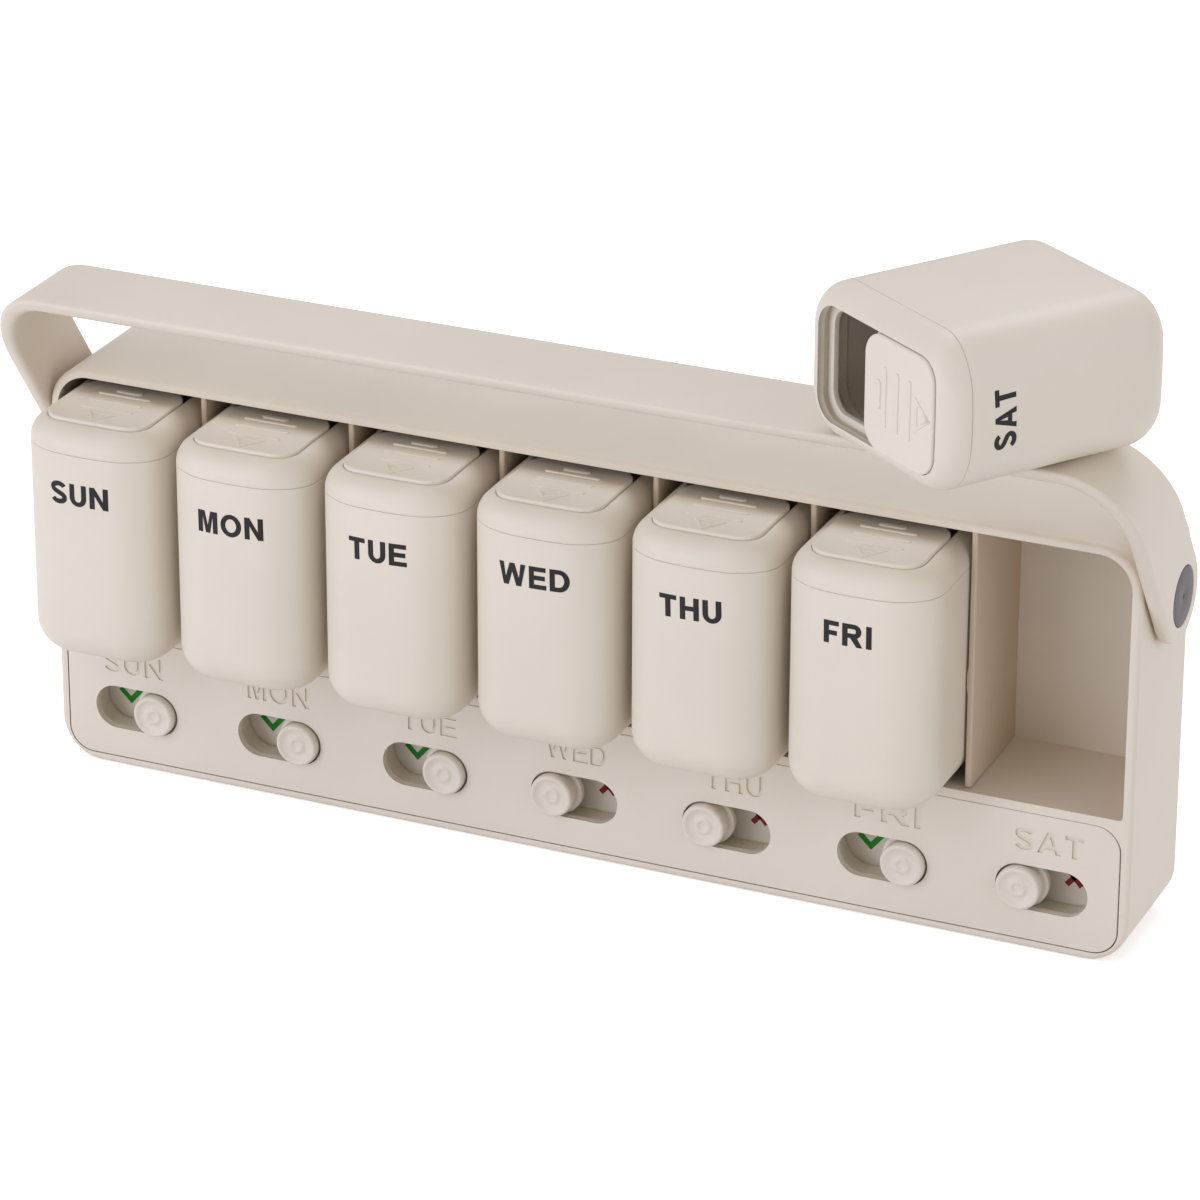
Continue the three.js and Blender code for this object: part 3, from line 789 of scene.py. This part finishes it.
def slot_outline(index, grow):
    """The outline of a day's slot, with half-round ends, moved outwards by a distance."""
    x = day_x(index)
    radius = SLOT_RADIUS + grow
    half = SLOT_LENGTH / 2 + grow
    return rounded_rectangle(
        (x - half, SLOT_HEIGHT - radius), (x + half, SLOT_HEIGHT + radius), [radius - ARC_GAP] * 4, SLOT_STEPS
    )


def make_panel():
    """The panel with a slot, an engraved word and a guide wall for each day."""
    back = CASE_FRONT + PANEL_THICKNESS
    left, bottom, right, top = PANEL_GAPS
    low = (switch_flat[0][0] + left, switch_flat[0][1] + bottom)
    high = (switch_flat[1][0] - right, switch_flat[1][1] - top)
    flat = (low, high, [SWITCH_BAY_CORNER - top] * 4)
    rings = [
        ring_across(inset_outline(*flat, inset), CASE_FRONT + depth)
        for inset, depth in quarter_round(PANEL_EDGE_ROUND, EDGE_STEPS)
    ]
    rings.append(ring_across(inset_outline(*flat, 0), back))
    panel = loft("panel", rings)
    cutters = []
    for index in range(len(DAYS)):
        slot_rings = [ring_across(slot_outline(index, SLOT_EDGE_ROUND), CASE_FRONT - OVERRUN)]
        slot_rings += [
            ring_across(slot_outline(index, SLOT_EDGE_ROUND - depth), CASE_FRONT + inset)
            for inset, depth in reversed(quarter_round(SLOT_EDGE_ROUND, EDGE_STEPS))
        ]
        slot_rings.append(ring_across(slot_outline(index, 0), back + OVERRUN))
        cutters.append(loft("slot", slot_rings))
    cutters += make_panel_words()
    boolean(panel, cutters, "DIFFERENCE")
    collars = []
    for index in range(len(DAYS)):
        inner = slot_outline(index, COLLAR_GROW)
        outer = slot_outline(index, COLLAR_GROW + COLLAR_WALL)
        section = [(inner, back), (outer, back), (outer, panel_high.y), (inner, panel_high.y)]
        collars.append(loft("collar", [ring_across(*edge) for edge in section], wrap=True))
    panel = join([panel, *collars])
    finish_piece(panel, panel_plastic, "case", "body", "switch_panel")


def make_panel_words():
    """Cutters for the day names that are engraved over the slots."""
    cutters = []
    depth = OVERRUN + PANEL_LETTER_DEPTH
    for index, day in enumerate(DAYS):
        span = [day_x(index) + edge for edge in PANEL_WORD_SPAN[day]]
        name = f"engraved_{day}"
        word = word_mesh(name, day.upper(), PANEL_LETTER_HEIGHT, span, depth, PANEL_LETTER_WEIGHT)
        place(word, Matrix.Translation((0, CASE_FRONT - OVERRUN, PANEL_LETTER_BASE)))
        cutters.append(word)
    return cutters


def stroke(name, points, width, y):
    """A flat ink stroke through points in X and Z, with mitred corners."""
    left = []
    right = []
    for i, point in enumerate(points):
        before = Vector(points[max(i - 1, 0)])
        after = Vector(points[min(i + 1, len(points) - 1)])
        here = Vector(point)
        incoming = (here - before).normalized() if i else (after - here).normalized()
        outgoing = (after - here).normalized() if i < len(points) - 1 else incoming
        mean = (incoming + outgoing).normalized()
        normal = Vector((-mean.y, mean.x))
        reach = width / 2 / max(normal.dot(Vector((-incoming.y, incoming.x))), LEAST_MITRE)
        left.append(here + normal * reach)
        right.append(here - normal * reach)
    count = len(points)
    vertices = [(p.x, y, p.y) for p in left + right]
    faces = [(i, i + 1, count + i + 1, count + i) for i in range(count - 1)]
    return make_object(name, vertices, faces)


def make_strip():
    """The strip behind the slots, with a tick and a cross for each day."""
    low = (switch_flat[0][0] + SEAT_GAP, switch_flat[0][1] + SEAT_GAP)
    high = (switch_flat[1][0] - SEAT_GAP, switch_flat[1][1] - SEAT_GAP)
    outline = rounded_rectangle(low, high, [SWITCH_BAY_CORNER - SEAT_GAP] * 4, STRIP_CORNER_STEPS)
    strip = loft("strip", [ring_across(outline, strip_low.y), ring_across(outline, strip_high.y)])
    finish_piece(strip, strip_plastic, "case", "strip", "mark_strip")
    y = strip_low.y - MARK_LIFT
    reach_x, reach_z = CROSS_REACH
    for index, day in enumerate(DAYS):
        tick = stroke(f"tick_{day}", [(day_x(index) + x, z) for x, z in TICK_POINTS], MARK_WIDTH, y)
        finish_piece(tick, tick_ink, "case", "strip")
        x = day_x(index) + CROSS_MIDDLE[0]
        z = CROSS_MIDDLE[1]
        arms = []
        for way in (1, -1):
            ends = [(x - way * reach_x, z - reach_z), (x + way * reach_x, z + reach_z)]
            arms.append(stroke("arm", ends, MARK_WIDTH, y))
        cross = join(arms)
        cross.name = f"cross_{day}"
        finish_piece(cross, cross_ink, "case", "strip")


def make_knobs():
    """A turned knob in each slot."""
    for day in DAYS:
        low, high = box_mm(f"knob_{day}")
        centre = Vector(((low.x + high.x) / 2, low.y, (low.z + high.z) / 2))
        depth = high.y - low.y
        flange_front = CASE_FRONT + PANEL_THICKNESS + SEAT_GAP - low.y
        profile = KNOB_FACE + [(radius, flange_front + y) for radius, y in KNOB_FLANGE]
        profile += [(KNOB_FLANGE[-1][0], depth), (0, depth)]
        knob = lathe(f"slide_knob_{day}", profile)
        place(knob, Matrix.Translation(centre))
        finish_piece(knob, knob_plastic, f"knob_{day}", "knob", f"knob_{day}")


# Pods

pod_flat = ((-POD_HALF, 0.0), (POD_HALF, POD_DEPTH), [POD_EDGE_RADIUS] * 4)
lip_flat = (
    (-POD_HALF + LIP_INSET, LIP_INSET),
    (POD_HALF - LIP_INSET, POD_DEPTH - LIP_REAR_INSET),
    [LIP_RADIUS] * 4,
)
hatch_travel = lip_flat[1][1] - lip_flat[0][1] - HATCH_LENGTH - 2 * SEAT_GAP
hole_flat = (
    (lip_flat[0][0] + SEAT_GAP + HOLE_LAP, lip_flat[0][1] + SEAT_GAP + hatch_travel + HOLE_LAP),
    (lip_flat[1][0] - SEAT_GAP - HOLE_LAP, lip_flat[1][1] - SEAT_GAP - HOLE_LAP),
    [HOLE_RADIUS] * 4,
)


def pod_ring(inset, z):
    """The pod's outline drawn in by an inset, at one height."""
    return ring_level(inset_outline(*pod_flat, inset), z)


def cut_across(obj, places):
    """Splits the faces at some places along X, so that a flat side can be bent."""
    bm = bmesh.new()
    bm.from_mesh(obj.data)
    for x in places:
        everything = bm.verts[:] + bm.edges[:] + bm.faces[:]
        bmesh.ops.bisect_plane(bm, geom=everything, plane_co=(x * MM, 0, 0), plane_no=(1, 0, 0))
    bm.to_mesh(obj.data)
    bm.free()


def bulge_front(obj):
    """Draws the front's sides back a little, so that its middle bulges."""
    for v in obj.data.vertices:
        across = v.co.x / (POD_HALF * MM)
        near = 1 - v.co.y / (POD_EDGE_RADIUS * MM)
        v.co.y += FRONT_BULGE * MM * across**2 * max(min(near, 1.0), 0.0) ** 3


def shoulder_height(x, y):
    """The cap's top surface over a point: flat in the middle, one soft round to the sides."""
    beyond_x = abs(x) - (POD_HALF - POD_EDGE_RADIUS)
    beyond_y = abs(y - POD_DEPTH / 2) - (POD_DEPTH / 2 - POD_EDGE_RADIUS)
    outside = math.hypot(max(beyond_x, 0), max(beyond_y, 0)) + min(max(beyond_x, beyond_y), 0)
    inset = min(max(POD_EDGE_RADIUS - outside, 0), CAP_ROUND)
    return CAP_TOP - CAP_ROUND + math.sqrt(CAP_ROUND**2 - (CAP_ROUND - inset) ** 2)


def make_pod_body(name):
    """An open cup with a rounded foot."""
    rings = [pod_ring(inset, depth) for inset, depth in quarter_round(POD_FOOT_ROUND, FOOT_STEPS)]
    edge = list(reversed(quarter_round(SEAM_EDGE_ROUND, SEAM_STEPS)))
    rings += [pod_ring(inset, POD_BODY_HEIGHT - depth) for inset, depth in edge]
    rings += [pod_ring(POD_WALL - inset, POD_BODY_HEIGHT - depth) for inset, depth in reversed(edge)]
    inner = reversed(quarter_round(POD_FOOT_ROUND - POD_WALL))
    rings += [pod_ring(POD_WALL + inset, POD_WALL + depth) for inset, depth in inner]
    return loft(name, rings)


def make_pod_cap(name):
    """A closed ring: the skirt, the shoulder, the lip, the hatch's groove and the hole's edge."""
    skirt = POD_WALL + SEAT_GAP
    skirt_bottom = CAP_BOTTOM - CAP_SKIRT_DEPTH
    groove_top = CAP_TOP - LIP_THICKNESS
    groove_bottom = groove_top - GROOVE_HEIGHT
    floor_bottom = groove_bottom - CAP_FLOOR
    rings = [pod_ring(skirt + CAP_SKIRT_WALL, z) for z in (floor_bottom, skirt_bottom)]
    seam = POD_BODY_HEIGHT + SEAM_GAP
    rings += [pod_ring(skirt, skirt_bottom), pod_ring(skirt, seam)]
    rings += [pod_ring(inset, seam + depth) for inset, depth in quarter_round(SEAM_EDGE_ROUND, SEAM_STEPS)]
    shoulder = [step for step in reversed(quarter_round(CAP_ROUND, CAP_STEPS)) if step[0] < SHOULDER_END]
    rings += [pod_ring(inset, CAP_TOP - depth) for inset, depth in shoulder]
    last = pod_ring(shoulder[-1][0], 0)
    mouth = inset_outline(*lip_flat, -LIP_EDGE_ROUND)
    for share in SHOULDER_SHARES:
        ring = [(a[0] + (b[0] - a[0]) * share, a[1] + (b[1] - a[1]) * share) for a, b in zip(last, mouth)]
        rings.append([(x, y, shoulder_height(x, y)) for x, y in ring])
    for inset, depth in reversed(quarter_round(LIP_EDGE_ROUND, LIP_STEPS)):
        edge = inset_outline(*lip_flat, depth - LIP_EDGE_ROUND)
        rings.append([(x, y, shoulder_height(*spot) - inset) for (x, y), spot in zip(edge, mouth)])
    groove = [(0, groove_top), (GROOVE_DEPTH, groove_top), (GROOVE_DEPTH, groove_bottom)]
    rings += [ring_level(inset_outline(*lip_flat, -grow), z) for grow, z in groove]
    hole = [(grow, groove_bottom - depth) for grow, depth in HOLE_EDGE] + [(0, floor_bottom)]
    rings += [ring_level(inset_outline(*hole_flat, -grow), z) for grow, z in hole]
    return loft(name, rings, wrap=True)


def soft_bar(name, centre, length, width, rise):
    """A low bar with round ends and a rounded top, standing on the hatch."""
    half = width / 2
    low = (centre[0] - length / 2, centre[1] - half)
    high = (centre[0] + length / 2, centre[1] + half)

    def ring(inset, z):
        return ring_level(inset_outline(low, high, [half - SHARP] * 4, inset, SMALL_CORNER_STEPS), z)

    rings = [ring(-RIB_FLARE, HATCH_TOP - FOOT_SINK)]
    edge = reversed(quarter_round(rise * RIB_ROUND_SHARE, EDGE_STEPS))
    rings += [ring(inset, HATCH_TOP + rise - depth) for inset, depth in edge]
    return loft(name, rings, smooth_angle=75)


def triangle_ring(half, base_y, tip_y, z, grow):
    """An upright triangle's corners, its sides moved outwards by a distance."""
    length = base_y - tip_y
    side = math.hypot(half, length)
    radius = half * length / (half + side)
    scale = 1 + grow / radius
    centre_y = base_y - radius
    return [
        (-half * scale, centre_y + radius * scale, z),
        (half * scale, centre_y + radius * scale, z),
        (0, centre_y - (length - radius) * scale, z),
    ]


def make_arrow(name):
    """A raised outline of a triangle that points to the hatch's closing way."""
    top = HATCH_TOP + ARROW_RISE
    foot = HATCH_TOP - FOOT_SINK
    section = [
        (foot, ARROW_FLARE),
        (top - ARROW_EDGE_ROUND, 0),
        (top, -ARROW_EDGE_ROUND),
        (top, ARROW_EDGE_ROUND - ARROW_WIDTH),
        (top - ARROW_EDGE_ROUND, -ARROW_WIDTH),
        (foot, -ARROW_WIDTH - ARROW_FLARE),
    ]
    rings = [triangle_ring(ARROW_HALF, ARROW_BASE, ARROW_TIP, z, grow) for z, grow in section]
    return loft(name, rings, wrap=True, smooth_angle=50)


def make_hatch(name):
    """A shallow lid with a flange that runs in the cap's groove, with ribs and an arrow on it."""
    low = (lip_flat[0][0] + HATCH_GAP, lip_flat[0][1] + HATCH_GAP)
    high = (lip_flat[1][0] - HATCH_GAP, lip_flat[0][1] + SEAT_GAP + HATCH_LENGTH)
    flat = (low, high, [LIP_RADIUS - HATCH_GAP] * 4)
    flange = GROOVE_DEPTH - SEAT_GAP
    flange_bottom = CAP_TOP - LIP_THICKNESS - GROOVE_HEIGHT + SEAT_GAP
    flange_top = flange_bottom + HATCH_FLANGE

    def ring(inset, z):
        return ring_level(inset_outline(*flat, inset), z)

    rings = [ring(HATCH_WALL, HATCH_TOP - HATCH_WALL), ring(HATCH_WALL, flange_bottom)]
    rings += [ring(-flange, flange_bottom), ring(-flange, flange_top), ring(0, flange_top)]
    rings += [ring(inset, HATCH_TOP - depth) for inset, depth in reversed(quarter_round(HATCH_EDGE_ROUND))]
    parts = [loft(name, rings)]
    ribs = [(share, HATCH_RIB_LENGTH, HATCH_RIB_WIDTH, HATCH_RIB_RISE) for share in HATCH_RIB_SHARES]
    ribs.append((HATCH_END_RIB_SHARE, HATCH_END_RIB_LENGTH, HATCH_END_RIB_WIDTH, HATCH_END_RIB_RISE))
    for share, length, width, rise in ribs:
        parts.append(soft_bar("rib", (0, low[1] + share * HATCH_LENGTH), length, width, rise))
    parts.append(make_arrow("arrow"))
    return join(parts)


def refine(mesh, longest):
    """Splits a flat mesh's long edges until each is shorter than a length in metres."""
    bm = bmesh.new()
    bm.from_mesh(mesh)
    bmesh.ops.triangulate(bm, faces=bm.faces)
    for _ in range(6):
        edges = [edge for edge in bm.edges if edge.calc_length() > longest]
        if not edges:
            break
        bmesh.ops.subdivide_edges(bm, edges=edges, cuts=1)
        bmesh.ops.triangulate(bm, faces=bm.faces)
    bm.to_mesh(mesh)
    bm.free()


def make_label(name, day):
    """The day's name in ink that follows the pod's rounded front."""
    left, right, foot, tilt = LABELS[day]
    half = (right - left) / 2
    label = word_mesh(name, day.upper(), LABEL_HEIGHT, (-half, half), 0, LABEL_WEIGHT)
    turn = Matrix.Rotation(-math.radians(tilt), 4, "Y")
    place(label, Matrix.Translation(((left + right) / 2, 0, foot)) @ turn)
    refine(label.data, LABEL_MESH_SIZE * MM)
    flat_half = (POD_HALF - POD_EDGE_RADIUS) * MM
    radius = POD_EDGE_RADIUS * MM
    for v in label.data.vertices:
        beyond = max(abs(v.co.x) - flat_half, 0.0)
        v.co.y = radius - math.sqrt(radius**2 - beyond**2)
    bulge_front(label)
    place(label, Matrix.Translation((0, -LABEL_LIFT, 0)))
    return label


def pod_matrix(index):
    """A pod's place: upright in its bay, or on its side on the handle's bar."""
    day = DAYS[index]
    if day != LIFTED_DAY:
        low, _ = box_mm(f"pod_body_{day}")
        return Matrix.Translation((day_x(index), low.y, low.z))
    yaw = math.radians(LIFTED_YAW)
    turn = Matrix((
        (0, -math.sin(yaw), -math.cos(yaw), 0),
        (0, math.cos(yaw), -math.sin(yaw), 0),
        (1, 0, 0, 0),
        (0, 0, 0, 1),
    ))
    bar_middle = -(HANDLE_RISE - STRAP_THICKNESS / 2) * math.tan(HANDLE_LEAN)
    centre = (day_x(index) + LIFTED_SHIFT, bar_middle - LIFTED_FORWARD, BAR_TOP + SEAT_GAP + POD_HALF)
    to_centre = Matrix.Translation((0, -POD_DEPTH / 2, -POD_HEIGHT / 2))
    return Matrix.Translation(centre) @ turn @ to_centre


def make_pods():
    """Each day's body, cap and hatch from one set of meshes, and its label."""
    body_source = make_pod_body("body_source")
    cap_source = make_pod_cap("cap_source")
    hatch_source = make_hatch("hatch_source")
    flat_half = POD_HALF - POD_EDGE_RADIUS
    cuts = [flat_half * (2 * step / FRONT_STEPS - 1) for step in range(1, FRONT_STEPS)]
    for source in (body_source, cap_source, hatch_source):
        cut_across(source, cuts)
        bulge_front(source)
    for index, day in enumerate(DAYS):
        matrix = pod_matrix(index)
        pieces = [
            (body_source, f"cup_{day}", pod_plastic, f"pod_{day}", "pod", f"pod_body_{day}"),
            (cap_source, f"cap_{day}", pod_plastic, f"pod_{day}", "pod", f"pod_cap_{day}"),
            (hatch_source, f"lid_{day}", hatch_plastic, f"hatch_{day}", "hatch", f"hatch_{day}"),
        ]
        for source, name, material, body, slot, node in pieces:
            piece = bpy.data.objects.new(name, source.data.copy())
            bpy.context.scene.collection.objects.link(piece)
            place(piece, matrix)
            finish_piece(piece, material, body, slot, node)
        label = make_label(f"label_{day}", day)
        place(label, matrix)
        finish_piece(label, label_ink, f"pod_{day}", "disc")
    for source in (body_source, cap_source, hatch_source):
        bpy.data.objects.remove(source)


# Handle

def strap_station(side, angle):
    """The strap's middle and its outward direction round one of its upper corners."""
    centre = Vector((side * (ARM_OUTER - CORNER_REACH), BAR_TOP - CORNER_DROP))

    def edge(inset):
        return centre + Vector((
            side * (CORNER_REACH - inset) * math.cos(angle), (CORNER_DROP - inset) * math.sin(angle)
        ))

    outer = edge(0)
    inner = edge(STRAP_THICKNESS)
    return (outer + inner) / 2, (outer - inner).normalized()


def strap_ring(station):
    """The strap's section, laid across its path and sheared forward with its height."""
    middle, out = station
    half = (STRAP_WIDTH / 2, STRAP_THICKNESS / 2)
    section = rounded_rectangle((-half[0], -half[1]), half, [STRAP_EDGE_ROUND] * 4, ROUND_STEPS)
    ring = []
    for across, along in section:
        spot = middle + out * along
        ring.append((spot.x, across - (spot.y - PIVOT_HEIGHT) * math.tan(HANDLE_LEAN), spot.y))
    return ring


def along_x(side, x):
    """Lays a lathe's Y axis along X, to the given side."""
    turn = Matrix.Rotation(-side * math.pi / 2, 4, "Z")
    return Matrix.Translation((side * x, 0, PIVOT_HEIGHT)) @ turn


def make_arm_end(side):
    """The disc round the pivot that ends an arm."""
    edge = quarter_round(STRAP_EDGE_ROUND)
    profile = [(0, 0)] + [(ARM_HALF - inset, depth) for inset, depth in edge]
    profile += [(ARM_HALF - inset, STRAP_THICKNESS - depth) for inset, depth in reversed(edge)]
    profile.append((0, STRAP_THICKNESS))
    return place(lathe("arm_end", profile), along_x(side, ARM_INNER))


def make_arm_recess(side):
    """The cutter for the round recess that holds the pivot disc."""
    radius = DISC_RADIUS + DISC_RECESS_GAP
    floor = STRAP_THICKNESS - DISC_RECESS_DEPTH
    profile = [(0, floor), (radius, floor)]
    profile += [(radius + grow, STRAP_THICKNESS - depth) for grow, depth in DISC_RECESS_EDGE]
    end = STRAP_THICKNESS + OVERRUN
    profile += [(profile[-1][0], end), (0, end)]
    return place(lathe("recess", profile), along_x(side, ARM_INNER))


def make_handle():
    """The strap over both corners, cut off at the pivots, with a disc at each end."""
    steps = [step / STRAP_CORNER_STEPS * math.pi / 2 for step in range(STRAP_CORNER_STEPS + 1)]
    left = [strap_station(-1, angle) for angle in steps]
    right = [strap_station(1, angle) for angle in reversed(steps)]

    def arm(side):
        foot = Vector((side * (ARM_OUTER - STRAP_THICKNESS / 2), PIVOT_HEIGHT - ARM_HALF))
        return foot, Vector((side, 0))

    strap = loft("handle", [strap_ring(s) for s in [arm(-1), *left, *right, arm(1)]])
    reach = ARM_OUTER + OVERRUN
    half = STRAP_WIDTH
    below = loft(
        "below",
        [[(-reach, -half, z), (reach, -half, z), (reach, half, z), (-reach, half, z)] for z in (-half, 0)],
    )
    place(below, Matrix.Translation((0, 0, PIVOT_HEIGHT)) @ Matrix.Rotation(HANDLE_LEAN, 4, "X"))
    boolean(strap, [below], "DIFFERENCE")
    boolean(strap, [make_arm_end(-1), make_arm_end(1)], "UNION")
    boolean(strap, [make_arm_recess(-1), make_arm_recess(1)], "DIFFERENCE")
    strap.name = "carrying_handle"
    finish_piece(strap, case_plastic, "handle", "body", "handle")


def make_pivot_discs():
    """The discs in the arms' recesses, and plain metal for the pins."""
    for side, name in ((-1, "left"), (1, "right")):
        low, high = box_mm(f"pivot_disc_{name}")
        thickness = high.x - low.x
        radius = DISC_RADIUS
        profile = [(0, 0), (radius - DISC_FOOT_ROUND, 0), (radius, DISC_FOOT_ROUND)]
        profile += [(radius - inset, thickness - depth) for inset, depth in DISC_RIM]
        profile += [(spot, thickness - depth) for spot, depth in DISC_DIMPLE]
        disc = lathe(f"pivot_cap_{name}", profile)
        inner = min(abs(low.x), abs(high.x))
        place(disc, along_x(side, inner))
        finish_piece(disc, disc_plastic, "handle", "disc", f"pivot_disc_{name}")
    for name in ("left", "right"):
        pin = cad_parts[f"pivot_pin_{name}"]
        for slot in pin.material_slots:
            slot.material = pin_metal


# Stage, light and camera

def make_floor():
    """A plain floor that the camera sees a little brighter, and that keeps the shadow."""
    mesh = bpy.data.meshes.new("floor")
    corners = [(x * FLOOR_HALF, y * FLOOR_HALF, 0) for x, y in ((-1, -1), (1, -1), (1, 1), (-1, 1))]
    mesh.from_pydata(corners, [], [(0, 1, 2, 3)])
    floor = bpy.data.objects.new("floor", mesh)
    bpy.context.scene.collection.objects.link(floor)
    material = bpy.data.materials.new("floor")
    material.use_nodes = True
    nodes = material.node_tree.nodes
    links = material.node_tree.links
    shader = nodes["Principled BSDF"]
    shader.inputs["Base Color"].default_value = FLOOR_COLOUR
    shader.inputs["Roughness"].default_value = FLOOR_ROUGHNESS
    glow = nodes.new("ShaderNodeEmission")
    path = nodes.new("ShaderNodeLightPath")
    strength = nodes.new("ShaderNodeMath")
    strength.operation = "MAXIMUM"
    links.new(path.outputs["Is Camera Ray"], strength.inputs[0])
    links.new(path.outputs["Is Glossy Ray"], strength.inputs[1])
    scale = nodes.new("ShaderNodeMath")
    scale.operation = "MULTIPLY"
    scale.inputs[1].default_value = FLOOR_GLOW
    links.new(strength.outputs["Value"], scale.inputs[0])
    links.new(scale.outputs["Value"], glow.inputs["Strength"])
    add = nodes.new("ShaderNodeAddShader")
    links.new(shader.outputs["BSDF"], add.inputs[0])
    links.new(glow.outputs["Emission"], add.inputs[1])
    links.new(add.outputs["Shader"], nodes["Material Output"].inputs["Surface"])
    mesh.materials.append(material)


def make_world():
    """Even light from all sides, which the camera sees as white."""
    world = bpy.data.worlds.new("studio")
    bpy.context.scene.world = world
    world.use_nodes = True
    nodes = world.node_tree.nodes
    links = world.node_tree.links
    ambient = nodes["Background"]
    ambient.inputs["Color"].default_value = AMBIENT_COLOUR
    ambient.inputs["Strength"].default_value = AMBIENT
    seen = nodes.new("ShaderNodeBackground")
    seen.inputs["Color"].default_value = WHITE
    seen.inputs["Strength"].default_value = 1.0
    path = nodes.new("ShaderNodeLightPath")
    mix = nodes.new("ShaderNodeMixShader")
    links.new(path.outputs["Is Camera Ray"], mix.inputs["Fac"])
    links.new(ambient.outputs["Background"], mix.inputs[1])
    links.new(seen.outputs["Background"], mix.inputs[2])
    links.new(mix.outputs["Shader"], nodes["World Output"].inputs["Surface"])


def area_light(name, position, size, power):
    """A rectangular lamp that points at the object."""
    light = bpy.data.lights.new(name, "AREA")
    light.shape = "RECTANGLE"
    light.size = size[0]
    light.size_y = size[1]
    light.energy = power
    light.color = LAMP_COLOUR
    obj = bpy.data.objects.new(name, light)
    obj.location = position
    direction = Vector(LAMP_TARGET) - Vector(position)
    obj.rotation_euler = direction.to_track_quat("-Z", "Y").to_euler()
    bpy.context.scene.collection.objects.link(obj)


def make_camera():
    """A camera at a distance from its target, with its principal point off the middle."""
    data = bpy.data.cameras.new("camera")
    data.sensor_width = SENSOR
    data.lens = FOCAL_PIXELS / IMAGE_SIZE * SENSOR
    data.shift_x = -(PRINCIPAL[0] - IMAGE_SIZE / 2) / IMAGE_SIZE
    data.shift_y = (PRINCIPAL[1] - IMAGE_SIZE / 2) / IMAGE_SIZE
    data.clip_start = VIEW_NEAR
    data.clip_end = VIEW_FAR
    camera = bpy.data.objects.new("camera", data)
    away = Vector((
        math.sin(VIEW_AZIMUTH) * math.cos(VIEW_ELEVATION),
        -math.cos(VIEW_AZIMUTH) * math.cos(VIEW_ELEVATION),
        math.sin(VIEW_ELEVATION),
    ))
    target = Vector((VIEW_TARGET_X, CASE_FRONT, VIEW_TARGET_Z))
    spot = Matrix.Translation((target + away * VIEW_DISTANCE) * MM)
    look = (-away).to_track_quat("-Z", "Y").to_matrix().to_4x4()
    camera.matrix_world = spot @ look @ Matrix.Rotation(VIEW_ROLL, 4, "Z")
    bpy.context.scene.collection.objects.link(camera)
    bpy.context.scene.camera = camera


make_camera()
make_world()
make_floor()
for lamp, (spot, size, power) in LAMPS.items():
    area_light(lamp, spot, size, power)

make_case()
make_dividers()
make_panel()
make_strip()
make_knobs()
make_pods()
make_handle()
make_pivot_discs()

bpy.context.scene.view_settings.view_transform = "Standard"
